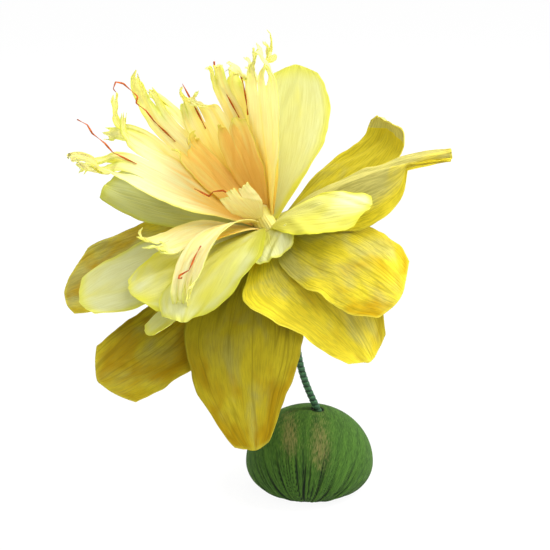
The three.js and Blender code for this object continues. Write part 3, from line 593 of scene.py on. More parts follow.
def smooth(x):
    x = np.clip(x, 0, 1)
    return x * x * (3 - 2 * x)


# a smooth wander about zero along x from four sines, the same each run
def wander(x, seed, waves):
    dice = np.random.default_rng(seed)
    total = np.zeros_like(x)
    for k in range(1, 5):
        total += dice.uniform(0.5, 1) * np.sin(2 * math.pi * (waves * k * 0.7 * x + dice.uniform())) / k
    return total / 1.6


# the same with a seed drawn from the dice
def ownWander(x, dice, waves):
    return wander(x, int(dice.integers(1, 9999)), waves)


# the same with a seed for each edge of a sheet
def edgeWander(x, low, seeds, waves):
    return np.where(low, wander(x, seeds[0], waves), wander(x, seeds[1], waves))


# flower head: the place and tilt of the bud, and the seats on it from the lowest petals up

headPlace = {"top": (-29, 1, 157), "lean": 29, "nod": 10.5}
budSize = {"radius": 5.5, "shoulder": 3, "crown": 1.5, "gap": 0.3}
seatPitch = {"outer": 1.1, "inner": 0.9, "strip": 1.8}
seatCount = {"outer": 5, "inner": 4, "strip": 4}
paperThickness = {"outer": 0.5, "inner": 0.3, "strip": 0.3}
budHeight = budSize["shoulder"] + budSize["crown"] + sum(seatPitch[k] * seatCount[k] for k in seatPitch)
headMatrix = (Matrix.Translation(headPlace["top"]) @ Matrix.Rotation(math.radians(headPlace["nod"]), 4, "X")
              @ Matrix.Rotation(math.radians(-headPlace["lean"]), 4, "Y"))


def seatHeight(seat):
    outer = min(seat, seatCount["outer"])
    inner = min(max(seat - seatCount["outer"], 0), seatCount["inner"])
    strip = max(seat - seatCount["outer"] - seatCount["inner"], 0)
    up = outer * seatPitch["outer"] + inner * seatPitch["inner"] + strip * seatPitch["strip"]
    return -budHeight + budSize["shoulder"] + paperThickness["outer"] + up


# from millimetres in a sheet's own frame, turned round the head, to metres in the row frame
def toRow(points, turn):
    place = np.array(headMatrix @ Matrix.Rotation(math.radians(turn), 4, "Z"))
    return (points @ place[:3, :3].T + place[:3, 3]) * mm


# Every sheet: turn is its direction round the head (0 right, -90 front), seat its place on the bud, rise
# and tipRise its slope at root and tip, bend how late that changes. half is the width of each of its two
# edges, the one at the smaller turn first; widest, close and blunt say where they are widest, where they
# end and how square. crease and cup are the folds and rolls of the two halves, and twist turns both.
# tipRound and tipSkew shorten the tip, ragged and scallop wear the edges, ruffle, waves and warp make the
# sheet uneven. coat and gild are how much brushed paint it has, dusk how much painted shade it has where
# other sheets shade it: at the root, at the tip, and extra towards each edge; past bare there is no paint.
sheetDefaults = {
    "widest": 0.6, "close": (1, 1), "blunt": (2, 2), "bend": 1, "crease": (0, 0), "cup": (0, 0), "twist": 0,
    "tipRound": 0.06, "tipSkew": 0, "ragged": 0.03, "scallop": (0.03, 0.03), "rimWidth": 0.05, "ruffle": (1.2, 1.2),
    "waves": 2.0, "warp": 1.2, "coat": (0.2, 0.3, 0, 0), "gild": (0, 0.1, 0, 0), "paintedShade": (0.4, 0, 0, 0), "bare": 1.1,
}
# shares of a sheet's length: where it is fully open, where the tip is cut, where the root is held flat, and
# where the tinted rim starts; waves along its edges; the way from one sheet's part of the noise to the next
sheetMarks = {"open": 0.5, "tipCut": 0.6, "held": 0.06, "freed": 0.3, "rimStart": 0.3, "rimShare": 0.7,
              "bareEdge": 0.03, "tornWaves": 5, "lobeWaves": 1.5, "warpWaves": 2.5, "mapStep": (61.7, 37.3)}


def slopeAt(sheet, s):
    return np.radians(sheet["rise"] + (sheet["tipRise"] - sheet["rise"]) * np.clip(s, 0, 1) ** sheet["bend"])


def midrib(sheet, s):
    steps = 400
    place = np.linspace(0, 1, steps + 1)
    slope = slopeAt(sheet, (place[:-1] + place[1:]) / 2)
    out = np.concatenate([[0], np.cumsum(np.cos(slope))]) * sheet["length"] / steps
    up = np.concatenate([[0], np.cumsum(np.sin(slope))]) * sheet["length"] / steps
    start = budSize["radius"] + budSize["gap"]
    return start + np.interp(s, place, out), seatHeight(sheet["seat"]) + np.interp(s, place, up)


def halfWidth(sheet, s, edge):
    half, blunt = sheet["half"][edge], sheet["blunt"][edge]
    grown = sheet["root"] + (half - sheet["root"]) * np.sin(math.pi / 2 * np.clip(s / sheet["widest"], 0, 1))
    past = np.clip((s - sheet["widest"]) / (sheet["close"][edge] - sheet["widest"]), 0, 1)
    closing = sheet["tip"] + (half - sheet["tip"]) * (1 - past ** blunt) ** (1 / blunt)
    return np.where(s <= sheet["widest"], grown, closing)


def sheetPoints(sheet, s, t):
    atTip = smooth((s - sheetMarks["tipCut"]) / (1 - sheetMarks["tipCut"]))
    s = s * (1 - (sheet["tipRound"] * t ** 2 + sheet["tipSkew"] * (1 + t) / 2) * atTip)
    low = t < 0
    size = np.abs(t)
    side = np.where(low, -1, 1)
    out, up = midrib(sheet, s)
    slope = slopeAt(sheet, s)
    opened = smooth(s / sheetMarks["open"])
    width = np.where(low, halfWidth(sheet, s, 0), halfWidth(sheet, s, 1))
    seed = sheet["seed"]
    torn = edgeWander(s, low, (seed, seed + 50), sheetMarks["tornWaves"])
    lobes = np.where(low, *sheet["scallop"]) * edgeWander(s, low, (seed + 21, seed + 71), sheetMarks["lobeWaves"])
    reach = width * size * (1 + (sheet["ragged"] * torn * size + lobes) * size ** 2 * opened)
    roll = np.radians(np.where(low, *sheet["cup"])) * opened * size
    fold = np.radians(np.where(low, *sheet["crease"]) + side * sheet["twist"]) * opened + roll / 2
    chord = reach * np.sinc(roll / 2 / math.pi)
    ruffle = np.where(low, *sheet["ruffle"]) * edgeWander(s, low, (seed + 7, seed + 77), sheet["waves"])
    ruffle = ruffle * size ** 1.7 * opened
    warp = sheet["warp"] * wander(0.6 * s + 0.3 * t, seed + 13, sheetMarks["warpWaves"]) * opened
    lift = chord * np.sin(fold) + ruffle + warp
    return np.stack([out - np.sin(slope) * lift, side * chord * np.cos(fold), up + np.cos(slope) * lift], -1)


def paint(sheet, layer, s, t):
    root, tip, low, high = sheet[layer]
    brushed = root + (tip - root) * s + low * np.clip(-t, 0, 1) ** 2 + high * np.clip(t, 0, 1) ** 2
    return brushed - 2 * smooth((s - sheet["bare"]) / sheetMarks["bareEdge"])


def sheetValues(sheet, s, t):
    across = t * (sheet["half"][0] + sheet["half"][1]) / 2
    along = s * sheet["length"]
    band = sheet["rimWidth"]
    rim = np.maximum(smooth((np.abs(t) - 1 + band) / band), smooth((s - 1 + band / 2) / (band / 2)))
    rim = rim * sheetMarks["rimShare"] * smooth(s / sheetMarks["rimStart"])
    stepAcross, stepAlong = sheetMarks["mapStep"]
    uv = np.stack([across + stepAcross * sheet["seed"], along + stepAlong * sheet["seed"]], -1)
    # dusk holds the painted shade: darker paper where other sheets shade it
    return uv, {"across": across, "along": along, "free": smooth((s - sheetMarks["held"]) / sheetMarks["freed"]),
                "rim": rim, "coat": paint(sheet, "coat", s, t), "gild": paint(sheet, "gild", s, t),
                "paintedShade": np.clip(paint(sheet, "paintedShade", s, t), 0, 1)}


# outer petals

outerPetal = {"rows": 64, "columns": 80, "ribPitch": 2.4, "ribDepth": 0.05, "gatherWidth": 10, "gatherDepth": 0.35,
              "crinkleSize": 10, "crinkleDepth": 0.35, "paper": paperThickness["outer"], "finish": "outerCrepe",
              "slot": "outer_crepe", "family": "outer_petal", "firstSeed": 1, "shape": {"root": 4, "tip": 6}}
outerPetals = {
    "right_back": dict(turn=22, seat=2, length=90, half=(24, 20), rise=0, tipRise=150, bend=8, blunt=(2.5, 2.5), tip=10,
                       cup=(5, 30), coat=(0.1, 1.0, 0.2, 0.1), gild=(-0.5, 0.25, 0, -0.2),
                       paintedShade=(0.7, 0.1, 0, 0), bare=0.88),
    "right": dict(turn=-11, seat=4, length=103, half=(25, 18), rise=14, tipRise=-12, widest=0.52, close=(0.76, 1),
                  blunt=(2, 0.8), tip=5, crease=(-40, -5), cup=(-10, -10), coat=(-0.2, 0.3, 1.0, -0.1),
                  gild=(-0.3, 0.05, 0.0, 0), paintedShade=(0.3, 0, 0, 0), tipRound=0.01),
    "right_front": dict(turn=-48, seat=3, length=93, half=(27, 25), rise=2, tipRise=-55, widest=0.5, crease=(-6, -8),
                        cup=(-5, -8), ruffle=(2.2, 2.5), waves=2.6, scallop=(0.08, 0.06), tipSkew=0.1,
                        coat=(0.2, 0.55, 0.15, 0.15), gild=(-0.2, 0.3, 0.15, 0.1), paintedShade=(0.5, 0.1, 0, 0)),
    "front_right": dict(turn=-69, seat=2, length=97, half=(34, 24), rise=2, tipRise=-86, widest=0.42, blunt=(1.15, 2),
                        cup=(10, -15), ruffle=(3.2, 1.5), waves=2.4, scallop=(0.14, 0.05),
                        coat=(0.4, 0.6, 0.3, 0), gild=(0.3, 0.1, 0.0, 0.2), paintedShade=(0.4, 0.1, -0.4, 0.6)),
    "front": dict(turn=-119, seat=1, length=117, half=(36, 35), rise=-7, tipRise=-66, widest=0.5, blunt=(1.2, 1.3),
                  cup=(24, -35), coat=(0.4, 0.6, 0.2, 0.2), gild=(0.0, 0.3, 0.1, 0.2),
                  paintedShade=(1.0, 0.4, 0, 0), tipRound=0.03),
    "front_left": dict(turn=-157, seat=0, length=114, half=(27, 25), rise=-14, tipRise=4, widest=0.55, blunt=(3, 3),
                       twist=-16, crease=(0, -28), tip=10, coat=(0.3, 0.45, 0.2, 0.2),
                       gild=(0.35, 0.35, 0, 0), paintedShade=(1.0, 0.45, 0, 0), tipRound=0.09),
    "left": dict(turn=168, seat=2, length=123, half=(31, 26), rise=8, tipRise=2, blunt=(3, 3), crease=(20, -10), tip=10,
                 coat=(0.1, 0.2, 0.2, 0.2), gild=(0.2, 0.25, 0, 0), paintedShade=(0.7, 0.3, 0, 0), tipRound=0.1),
    "left_back": dict(turn=138, seat=1, length=100, half=(24, 24), rise=-10, tipRise=-50, cup=(-15, -15)),
    "back": dict(turn=100, seat=0, length=100, half=(24, 24), rise=-24, tipRise=-55, cup=(-15, -15)),
    "back_right": dict(turn=62, seat=1, length=78, half=(20, 20), rise=-8, tipRise=-48, cup=(-15, -15)),
}

# inner petals

innerPetal = {"rows": 56, "columns": 64, "ribPitch": 2.4, "ribDepth": 0.04, "gatherWidth": 8, "gatherDepth": 0.35,
              "crinkleSize": 10, "crinkleDepth": 0.3, "paper": paperThickness["inner"], "finish": "paleCrepe",
              "slot": "pale_crepe", "family": "inner_petal", "firstSeed": 21,
              "shape": {"root": 4, "tip": 5, "rimWidth": 0.16, "paintedShade": (0.15, 0, 0, 0)}}
innerPetals = {
    "right_back": dict(turn=44, seat=6, length=83, half=(27, 24), rise=40, tipRise=44, widest=0.65, cup=(-25, 15),
                       coat=(0.4, -0.8, 0.4, 0.3), paintedShade=(0, 0, 0, 0), rimWidth=0.24),
    "right": dict(turn=-30, seat=6, length=64, half=(22, 12), rise=18, tipRise=-20, cup=(-10, 0),
                  coat=(0.5, 0.3, 0.2, 0.2), paintedShade=(0, 0, 0, 0)),
    "front_right": dict(turn=-82, seat=5, length=34, half=(13, 13), rise=14, tipRise=-16, root=3, cup=(8, 8),
                        coat=(0.6, 0.2, 0, 0), paintedShade=(0, 0, 0, 0)),
    "front": dict(turn=-118, seat=8, length=84, half=(26, 27), rise=24, tipRise=-16, cup=(0, -10),
                  coat=(0.55, 0.25, 0.1, 0.15), paintedShade=(0.25, 0.1, 0.1, 0.5)),
    "front_left": dict(turn=-150, seat=7, length=76, half=(20, 27), rise=15, tipRise=8, twist=-18, crease=(0, -8),
                       coat=(0.35, 0.25, 0.2, 0.2), paintedShade=(0, 0, 0, 0)),
    "front_low": dict(turn=-145, seat=5, length=81, half=(15, 14), rise=0, tipRise=-3, root=3),
    "left": dict(turn=-170, seat=6, length=101, half=(20, 21), rise=15, tipRise=4, twist=-25, coat=(0.3, 0.1, 0.1, 0.1),
                 paintedShade=(0.5, 0.0, 0.1, 0)),
    "left_back": dict(turn=152, seat=8, length=91, half=(22, 24), rise=34, tipRise=27, cup=(15, 15),
                      coat=(0.3, -0.1, 0, 0), paintedShade=(1.0, 0.8, 0.3, 0.1)),
    "back": dict(turn=115, seat=6, length=76, half=(19, 19), rise=28, tipRise=30, cup=(15, 15)),
    "back_right": dict(turn=80, seat=5, length=76, half=(19, 19), rise=24, tipRise=28, cup=(15, 15)),
}


def makePetals(petals, look):
    rows = np.sin(math.pi / 2 * np.linspace(0, 1, look["rows"] + 1))  # closer together towards the tip
    columns = np.linspace(-1, 1, look["columns"] + 1)
    s, t = np.meshgrid(rows, columns, indexing="ij")
    for seed, (name, petal) in enumerate(petals.items(), look["firstSeed"]):
        sheet = {**sheetDefaults, **look["shape"], "seed": seed, **petal}
        uv, values = sheetValues(sheet, s, t)
        node = look["family"] + "_" + name
        mesh = gridMesh(node, toRow(sheetPoints(sheet, s, t), sheet["turn"]), uv, values)
        makeCrepe(mesh, look, seed, node)


makePetals(outerPetals, outerPetal)
makePetals(innerPetals, innerPetal)
print("petals made:", len(outerPetals) + len(innerPetals))


# strips: past the share fringe of its length a strip is torn into locks, and past split a lock into shreds;
# sway, spin and curl are the most that a lock or a shred strays, in degrees

fringedStrip = {"rows": 36, "cells": 36, "locks": 3, "shreds": 2, "lockRows": 30, "lockSteps": 60, "split": 0.6,
                "slit": 0.012, "cutWidths": (0.4, 1.8), "reach": (0.95, 1.5), "lockTaper": 0.85, "sway": 40,
                "spin": 150, "shredReach": (0.65, 1.0), "shredTaper": (0.8, 1.5), "shredCurl": 70, "shredSway": 50,
                "shredSpin": 120, "lockWaves": 2.0, "shredWaves": 1.8, "shredKink": 0.7, "sideKink": 0.6, "teeth": 0.1,
                "toothWaves": 2.5, "tornOver": 0.2, "tornRim": (0.4, 0.55), "crumple": 3.5, "ribPitch": 1.8,
                "ribDepth": 0.05, "gatherWidth": 5, "gatherDepth": 0.35, "crinkleSize": 5, "crinkleDepth": 0.3,
                "paper": paperThickness["strip"], "finish": "stripCrepe", "slot": "strip_crepe"}
stripShape = {"root": 3, "tip": 13, "blunt": (3, 3), "cup": (15, 15), "tipRound": 0,
              "ruffle": (0.6, 0.6), "warp": 0.8, "coat": (0.9, 0.1, -0.1, -0.1), "gild": (0.8, -0.4, -0.25, -0.25),
              "paintedShade": (0, 0, 0, 0), "fringe": 0.68, "curl": (-80, 110), "wild": 1.0}
fringedStrips = {
    "right": dict(turn=11, seat=10, length=92, half=(15, 15), rise=63, tipRise=65, twist=25,
                  coat=(0.6, -0.1, -0.1, -0.1), gild=(0.2, -0.4, 0, 0)),
    "back": dict(turn=50, seat=9, length=86, half=(16, 16), rise=58, tipRise=60),
    "back_left": dict(turn=92, seat=10, length=84, half=(16, 16), rise=64, tipRise=62),
    "left_back": dict(turn=132, seat=9, length=92, half=(16, 16), rise=58, tipRise=58),
    "left": dict(turn=-174, seat=10, length=99, half=(15, 18), rise=60, tipRise=60, twist=-25,
                 fringe=0.64, coat=(0.4, -0.2, 0, 0.3), gild=(0.8, -0.4, 0.1, -0.4)),
    "front_left": dict(turn=-146, seat=9, length=64, half=(13, 12), rise=42, tipRise=5, root=4.4, widest=0.4, twist=-15,
                       fringe=0.76, curl=(20, 120), wild=0.8, coat=(0.4, 0.1, 0, 0), gild=(0.35, 0.0, -0.3, 0.3)),
    "front": dict(turn=-120, seat=11, length=78, half=(10, 10), rise=47, tipRise=-37, root=2.4, widest=0.5,
                  fringe=0.8, curl=(-30, 20), wild=0.4, coat=(0.4, 0.1, 0, 0), gild=(-0.4, -0.8, 0, 0)),
    "front_short": dict(turn=-92, seat=12, length=28, half=(9, 9), rise=55, tipRise=70,
                        fringe=0.8, curl=(-10, 30), wild=0.2, coat=(-0.1, -0.4, 0, 0), gild=(-0.5, -0.8, 0, 0)),
}
# short, dyed orange, inside the fringed ones
orangeShape = {**stripShape, "tip": 7, "blunt": (4, 4), "cup": (8, 8), "fringe": 0.84, "wild": 0.7,
               "coat": (0.9, 0.6, 0, 0), "gild": (0.85, 0.4, -0.2, -0.2)}
orangeStrips = {
    "left": dict(turn=140, seat=11, length=54, half=(10, 9), rise=68, tipRise=69),
    "back": dict(turn=62, seat=12, length=49, half=(12, 11), rise=78, tipRise=71),
}
stripSheets = {}


# cuts the strip's end at uneven places: the columns across it, the lock and the shred that each belongs to,
# and how near it is to its shred's edge
def cutFringe(dice):
    look = fringedStrip
    widths = dice.uniform(*look["cutWidths"], look["locks"] * look["shreds"])
    cuts = np.concatenate([[0], np.cumsum(widths)]) / widths.sum() * 2 - 1
    columns, shred, edges = [], [], []
    for k, (start, end) in enumerate(zip(cuts[:-1], cuts[1:])):
        cells = max(2, round((end - start) / 2 * look["cells"]))
        columns += list(np.linspace(start + look["slit"], end - look["slit"], cells + 1))
        shred += [k] * (cells + 1)
        edges += list(np.linspace(-1, 1, cells + 1) ** 2)
    shred = np.array(shred)
    return np.array(columns), shred // look["shreds"], shred, np.array(edges)


# one lock: its middle line curls, sways and turns; past the split each shred goes its own way and narrows
def lockPoints(sheet, edge, shreds, share, dice):
    look, wild = fringedStrip, sheet["wild"]
    fine = np.linspace(0, 1, look["lockSteps"])
    own = np.clip((fine - look["split"]) / (1 - look["split"]), 0, 1) ** 1.5
    slope = slopeAt(sheet, np.array(sheet["fringe"]))
    curl = math.radians(dice.uniform(*sheet["curl"]))
    sway, spin = (math.radians(dice.uniform(-look[k], look[k])) * wild for k in ("sway", "spin"))
    wave = ownWander(fine, dice, look["lockWaves"]) * fine * wild
    long = sheet["length"] * (1 - sheet["fringe"]) * dice.uniform(*look["reach"])
    middle = edge.mean(0)
    points = np.zeros((len(share), len(edge), 3))
    for shred in np.unique(shreds):
        mine = np.nonzero(shreds == shred)[0]
        curlOn, swayOn, spinOn = (math.radians(dice.uniform(-look[k], look[k])) * wild
                                  for k in ("shredCurl", "shredSway", "shredSpin"))
        reach, taper = long * dice.uniform(*look["shredReach"]), dice.uniform(*look["shredTaper"])
        kink = wave + ownWander(fine, dice, look["shredWaves"]) * own * look["shredKink"] * wild
        angle = slope + curl * fine ** 1.3 + curlOn * own + kink
        aside = sway * fine + swayOn * own + look["sideKink"] * kink
        ahead = np.stack([np.cos(angle) * np.cos(aside), np.sin(aside), np.sin(angle) * np.cos(aside)], -1)
        path = np.cumsum(ahead, 0) * reach / len(fine)
        turned = spin * fine ** 1.5 + spinOn * own
        centre = edge[mine].mean(0)
        drawn = 1 - (1 - look["lockTaper"]) * share[:, None]
        uneven = ownWander(np.linspace(0, 1, len(mine)), dice, look["toothWaves"])
        teeth = 1 - look["teeth"] + look["teeth"] * uneven
        for j, end in zip(mine, teeth):  # torn, so no two corners end level
            at = share * (1 - (1 - end) * share ** 2)
            narrow = 1 - (1 - taper) * np.interp(at, fine, own)
            offset = ((centre - middle) + (edge[j] - centre) * narrow[:, None]) * drawn
            forward = np.stack([np.interp(at, fine, ahead[:, i]) for i in range(3)], -1)
            onPath = np.stack([np.interp(at, fine, path[:, i]) for i in range(3)], -1)
            spun = np.interp(at, fine, turned)[:, None]
            points[:, j] = middle + onPath + offset * np.cos(spun) + np.cross(forward, offset) * np.sin(spun)
    return points


def makeStrips(strips, shape, family, firstSeed):
    look = fringedStrip
    share = np.linspace(0, 1, look["lockRows"] + 1)[1:]
    splitRow = look["rows"] + round(look["split"] * look["lockRows"])
    for seed, (name, strip) in enumerate(strips.items(), firstSeed):
        sheet = {**sheetDefaults, **shape, "seed": seed, **strip}
        node = family + "_" + name
        stripSheets[node] = sheet
        dice = np.random.default_rng(seed)
        columns, lock, shred, edges = cutFringe(dice)
        bodyRows = np.linspace(0, sheet["fringe"], look["rows"] + 1)
        s, t = np.meshgrid(bodyRows, columns, indexing="ij")
        body = sheetPoints(sheet, s, t)
        ends = np.zeros((len(share), len(columns), 3))
        for k in range(look["locks"]):
            mine = np.nonzero(lock == k)[0]
            ends[:, mine] = lockPoints(sheet, body[-1, mine], shred[mine], share, dice)
        points = np.concatenate([body, ends], 0)
        rowShare = np.concatenate([bodyRows, sheet["fringe"] + (1 - sheet["fringe"]) * share])
        s, t = np.meshgrid(rowShare, columns, indexing="ij")
        uv, values = sheetValues(sheet, s, t)
        torn = smooth((s - sheet["fringe"]) / look["tornOver"])
        inside, atEdge = look["tornRim"]
        values["rim"] = np.maximum(values["rim"], torn * (inside + atEdge * edges))
        values["free"] = values["free"] * (1 + look["crumple"] * torn * sheet["wild"])

        def joined(i, j):
            return i < look["rows"] or shred[j] == shred[j + 1] or (lock[j] == lock[j + 1] and i < splitRow)

        mesh = gridMesh(node, toRow(points, sheet["turn"]), uv, values, keep=joined)
        makeCrepe(mesh, look, seed, node)


makeStrips(fringedStrips, stripShape, "fringed_strip", 41)
makeStrips(orangeStrips, orangeShape, "orange_strip", 61)
print("strips made:", len(stripSheets))


# stamens: glued along a strip's inner face, then free points as (on, across, off) from the last glued one

stamen = {"width": 1.0, "thickness": 0.35, "twistPitch": 24, "rings": 90, "sides": 8, "radius": 0.5}
stamens = {
    "right": dict(strip="back", glue=(0.62, 0.8), across=0.42, free=((4, 0, 1), (8, -1, 2))),
    "back": dict(strip="back_left", glue=(0.6, 0.8), across=-0.8, free=((4, 0, 1), (8, 0.5, 1), (15, -4, 2))),
    "back_left": dict(strip="back_left", glue=(0.64, 0.8), across=0.4, free=((6, 0, 1), (13, 0, 2))),
    "left_back": dict(strip="left_back", glue=(0.66, 0.84), across=0.0,
                      free=((6, 0, 2), (12, 2, 4), (14, -1, 5), (24, 0, 6), (27, 3, 7), (25, 7, 7), (21, 8, 8))),
    "left": dict(strip="left", glue=(0.7, 0.84), across=0.0, free=((6, 0, 3), (14, 0, 5), (18, -3, 6), (24, -2, 7))),
    "front": dict(strip="front", glue=(0.6, 0.8), across=0.0, free=((4, -3, 2), (7, -1, 3), (8, 3, 4))),
    "front_short": dict(strip="front_short", glue=(0.5, 0.84), across=-0.2,
                        free=((4, -4, 3), (5, -9, 4), (2, -13, 5), (10, -17, 6))),
}


def sheetNormal(sheet, s, t):
    step = 1e-3
    after, before, right, left = (sheetPoints(sheet, np.array(s + a), np.array(t + b))
                                  for a, b in ((step, 0), (-step, 0), (0, step), (0, -step)))
    normal = np.cross(after - before, right - left)
    return normal / np.linalg.norm(normal)


def makeStamens():
    off = paperThickness["strip"] / 2 + budSize["gap"] + stamen["radius"]
    for name, one in stamens.items():
        sheet = stripSheets["fringed_strip_" + one["strip"]]
        glued = []
        for share in (0, 0.5, 1):
            s = one["glue"][0] + (one["glue"][1] - one["glue"][0]) * share
            point = sheetPoints(sheet, np.array(s), np.array(one["across"]))
            glued.append(point + sheetNormal(sheet, s, one["across"]) * off)
        along = (glued[2] - glued[1]) / np.linalg.norm(glued[2] - glued[1])
        up = sheetNormal(sheet, one["glue"][1], one["across"])
        side = np.cross(up, along)
        path = glued + [glued[2] + along * a + side * b + up * c for a, b, c in one["free"]]
        mesh = bpy.data.meshes.new("stamen_" + name)
        points = toRow(np.array(path), sheet["turn"])
        mesh.from_pydata(points.tolist(), [(i, i + 1) for i in range(len(path) - 1)], [])
        makePiece(mesh, trees["twist"], {
            "Width": stamen["width"] * mm, "Thickness": stamen["thickness"] * mm,
            "Twist Pitch": stamen["twistPitch"] * mm, "Rings": stamen["rings"], "Sides": stamen["sides"],
            "Material": finishes["stamenTissue"]}, "stamen_" + name)


makeStamens()
print("stamens made:", len(stamens))


# base: a bun with a flat foot under gathered crepe, with a hole for the stem off its middle

base = {"width": 70, "foot": 42, "tuck": 13.5, "dome": 31, "holeWidth": 6.8, "holeOffset": 4, "paper": 0.6,
        "around": 400, "footRings": 8, "sideRings": 36, "domeRings": 56, "footCentre": 0.6, "pleats": 8,
        "pleatDepth": 0.5, "pleatDrift": 0.2, "grooveWidth": 0.035, "swellDepth": 2.0, "gather": (-0.08, -0.8, -0.6),
        "seed": 3.0, "gatherReach": (0.2, 0.75, 0.75), "footEdge": 1.5, "tornRim": 0.2, "rimDrop": 0.45, "rimDraw": 0.1,
        "rimDark": 0.5, "wornEdge": (0.1, 1.2),
        "worn": ((-11, 36, 7, 12), (5, 33, 8, 15))}  # each worn patch: x, z, half its width and half its height
outOfReach = 99  # puts a point beyond any patch


def makeCover():
    inset = base["paper"] / 2
    radius, foot = base["width"] / 2 - inset, base["foot"] / 2
    dome, rim = base["dome"] - inset, base["holeWidth"] / 2
    profile = [(r, inset) for r in np.linspace(base["footCentre"], foot, base["footRings"])[:-1]]
    profile += [(foot + (radius - foot) * math.sin(a), inset + (base["tuck"] - inset) * (1 - math.cos(a)))
                for a in np.linspace(0, math.pi / 2, base["sideRings"])]
    profile += [(radius * math.cos(a), None) for a in np.linspace(0, math.acos(rim / radius), base["domeRings"])[1:]]
    turn = np.linspace(0, 2 * math.pi, base["around"], endpoint=False)
    points = []
    for r, z in profile:
        x, y = r * np.cos(turn), r * np.sin(turn)
        if z is None:  # on the dome the rings close in on the hole
            x = x + base["holeOffset"] * (1 - (r - rim) / (radius - rim))
            height = base["tuck"] + dome * np.sqrt(np.clip(1 - (x ** 2 + y ** 2) / radius ** 2, 0, 1))
        else:
            height = np.full_like(x, z)
        points.append(np.stack([x, y, height], -1))
    # the torn rim tucks down into the hole
    middle = np.array([base["holeOffset"], 0, 0])
    inwards = np.array([base["rimDraw"], base["rimDraw"], 0])
    down = points[-1] + (middle - points[-1]) * inwards - np.array([0, 0, base["rimDrop"]])
    down[:, 2] += base["tornRim"] * wander(turn / (2 * math.pi), 5, 6)
    points = np.array(points + [down])
    # the paper is drawn together low down at the front: angle round that place, and angle away from it
    pole = np.array(base["gather"]) / np.linalg.norm(base["gather"])
    east = np.cross(pole, [0, 0, 1.0])
    east /= np.linalg.norm(east)
    north = np.cross(east, pole)
    way = points - np.array([0, 0, base["tuck"]])
    way /= np.linalg.norm(way, axis=-1, keepdims=True)
    around, away = np.arctan2(way @ east, way @ north), np.arccos(np.clip(way @ pole, -1, 1))
    toHole = np.linalg.norm((points - middle)[..., :2], axis=-1) + outOfReach * (points[..., 2] < base["tuck"])
    # flat where it is tied, far from there and on the foot
    tied, reach, fade = base["gatherReach"]
    offFoot = smooth((points[..., 2] - base["paper"]) / base["footEdge"])
    free = smooth(away / tied) * (1 - smooth((away - reach) / fade)) * offFoot
    worn = np.zeros_like(free)
    start, blur = base["wornEdge"]
    for x, z, wide, high in base["worn"]:
        far = np.hypot((points[..., 0] - x) / wide, (points[..., 2] - z) / high) + outOfReach * (points[..., 1] > 0)
        worn = np.maximum(worn, 1 - smooth((far - start) / blur))
    # tuck is the painted shade where the torn rim goes down into the hole
    tuck = 1 - smooth((toHole - rim) / base["rimDark"])
    uv = np.stack([around * radius, away * radius], -1)
    values = {"turn": around, "level": away, "free": free, "tuck": tuck, "worn": worn}
    mesh = gridMesh("base_cover", points[::-1] * mm, uv[::-1], {k: v[::-1] for k, v in values.items()}, ring=True)
    # the middle of the foot is closed flat
    lowest = [v.index for v in mesh.vertices
              if v.co.z < base["tuck"] * mm and math.hypot(v.co.x, v.co.y) < (base["footCentre"] + 0.1) * mm]
    lowest.sort(key=lambda i: math.atan2(mesh.vertices[i].co.y, mesh.vertices[i].co.x))
    closeFoot(mesh, lowest)
    makePiece(mesh, trees["pleats"], {
        "Paper Thickness": base["paper"] * mm, "Pleats": float(base["pleats"]), "Pleat Depth": base["pleatDepth"] * mm,
        "Pleat Drift": base["pleatDrift"], "Groove Width": base["grooveWidth"], "Swell Depth": base["swellDepth"] * mm,
        "Seed": base["seed"], "Material": finishes["coverCrepe"]}, "base_cover")


def closeFoot(mesh, ring):
    work = bmesh.new()
    work.from_mesh(mesh)
    work.verts.ensure_lookup_table()
    work.faces.new([work.verts[i] for i in reversed(ring)])
    work.to_mesh(mesh)
    work.free()


makeCover()
print("base cover made")


# stem: wire bound with tape, straight in the base, one bend in the air, straight into the bud

stem = {"diameter": 4.1, "wire": 2.0, "lean": 24, "spring": 45, "boreDepth": 28, "tapePitch": 2.9, "tapeStep": 0.36,
        "rings": 420, "sides": 28, "straightPoints": 8, "bendPoints": 40}


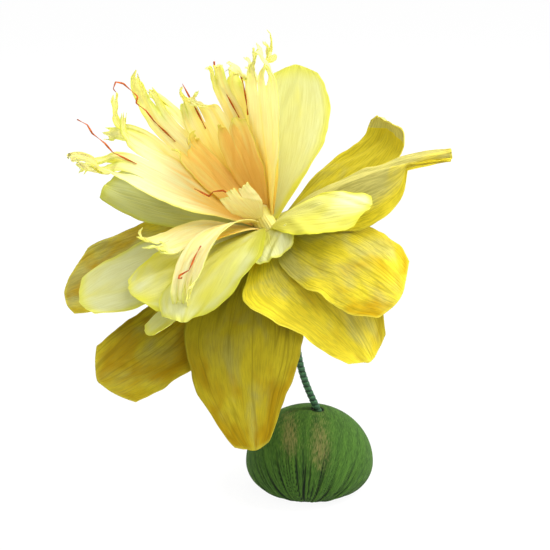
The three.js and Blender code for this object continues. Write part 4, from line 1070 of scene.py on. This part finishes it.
def makeStem():
    radius = base["width"] / 2
    mouth = np.array([base["holeOffset"], 0,
                      base["tuck"] + base["dome"] * math.sqrt(1 - (base["holeOffset"] / radius) ** 2)])
    lean = math.radians(stem["lean"])
    out = np.array([-math.sin(lean), 0, math.cos(lean)])
    above = mouth + out * base["holeWidth"]
    low = mouth - out * (stem["boreDepth"] - budSize["gap"])
    axis = np.array(headMatrix)[:3, 2]
    budFoot = np.array(headPlace["top"]) - axis * budHeight
    leave, arrive = above + out * stem["spring"], budFoot - axis * stem["spring"]
    straight, bend = stem["straightPoints"], stem["bendPoints"]
    path = [low + (above - low) * k / straight for k in range(straight)]
    for a in np.arange(bend + 1) / bend:
        path.append(above * (1 - a) ** 3 + 3 * leave * a * (1 - a) ** 2 + 3 * arrive * a ** 2 * (1 - a)
                    + budFoot * a ** 3)
    mesh = bpy.data.meshes.new("stem_wrap")
    mesh.from_pydata([tuple(p * mm) for p in path], [(i, i + 1) for i in range(len(path) - 1)], [])
    wall = (stem["diameter"] - stem["wire"]) / 2 - budSize["gap"] - stem["tapeStep"]
    makePiece(mesh, trees["tape"], {
        "Stem Radius": stem["diameter"] / 2 * mm, "Wall": wall * mm, "Tape Pitch": stem["tapePitch"] * mm,
        "Tape Step": stem["tapeStep"] * mm, "Rings": stem["rings"], "Sides": stem["sides"],
        "Material": finishes["stemTape"]}, "stem_wrap")


makeStem()
print("stem made")


# bud: crepe wound over the ends of the sheets

bud = {"around": 96, "shoulderRings": 6, "sideRings": 30, "crownRings": 8, "topRing": (0.4, -0.1), "paper": 0.4,
       "ribPitch": 1.6, "ribDepth": 0.12, "gatherWidth": 3.0, "gatherDepth": 0.2, "crinkleSize": 3.0,
       "crinkleDepth": 0.05, "seed": 5.0, "coat": 0.3, "gild": 0.2, "finish": "budCrepe", "slot": "bud_crepe"}


def makeBud():
    radius = budSize["radius"]
    corners = [(stem["diameter"] / 2, -budHeight), (radius, -budHeight + budSize["shoulder"]),
               (radius, -budSize["crown"]), bud["topRing"]]
    counts = (bud["shoulderRings"], bud["sideRings"], bud["crownRings"])
    turn = np.linspace(0, 2 * math.pi, bud["around"], endpoint=False)
    rings = []
    for (r0, z0), (r1, z1), count in zip(corners[:-1], corners[1:], counts):
        rings += [(r0 + (r1 - r0) * a, z0 + (z1 - z0) * a) for a in np.arange(count) / count]
    rings = [*rings, corners[-1]][::-1]  # from the top down, so that the faces point outwards
    points = np.array([[(r * math.cos(a), r * math.sin(a), z) for a in turn] for r, z in rings])
    level = np.array([z for _, z in rings])[:, None] + budHeight + 0 * turn[None]
    across = turn[None] * radius + 0 * level
    values = {"across": across, "along": level, "free": 1, "coat": bud["coat"], "gild": bud["gild"], "rim": 0,
              "paintedShade": 0}
    mesh = gridMesh("bud", toRow(points, 0), np.stack([across, level], -1), values, ring=True)
    makeCrepe(mesh, bud, bud["seed"], "bud")


makeBud()
print("bud made")


# the core and the wire keep their solids and take their finishes

for node, finish in {"base_core": "coreBeech", "stem_wire": "wireSteel"}.items():
    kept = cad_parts[node]
    kept.data.materials.clear()
    kept.data.materials.append(finishes[finish])
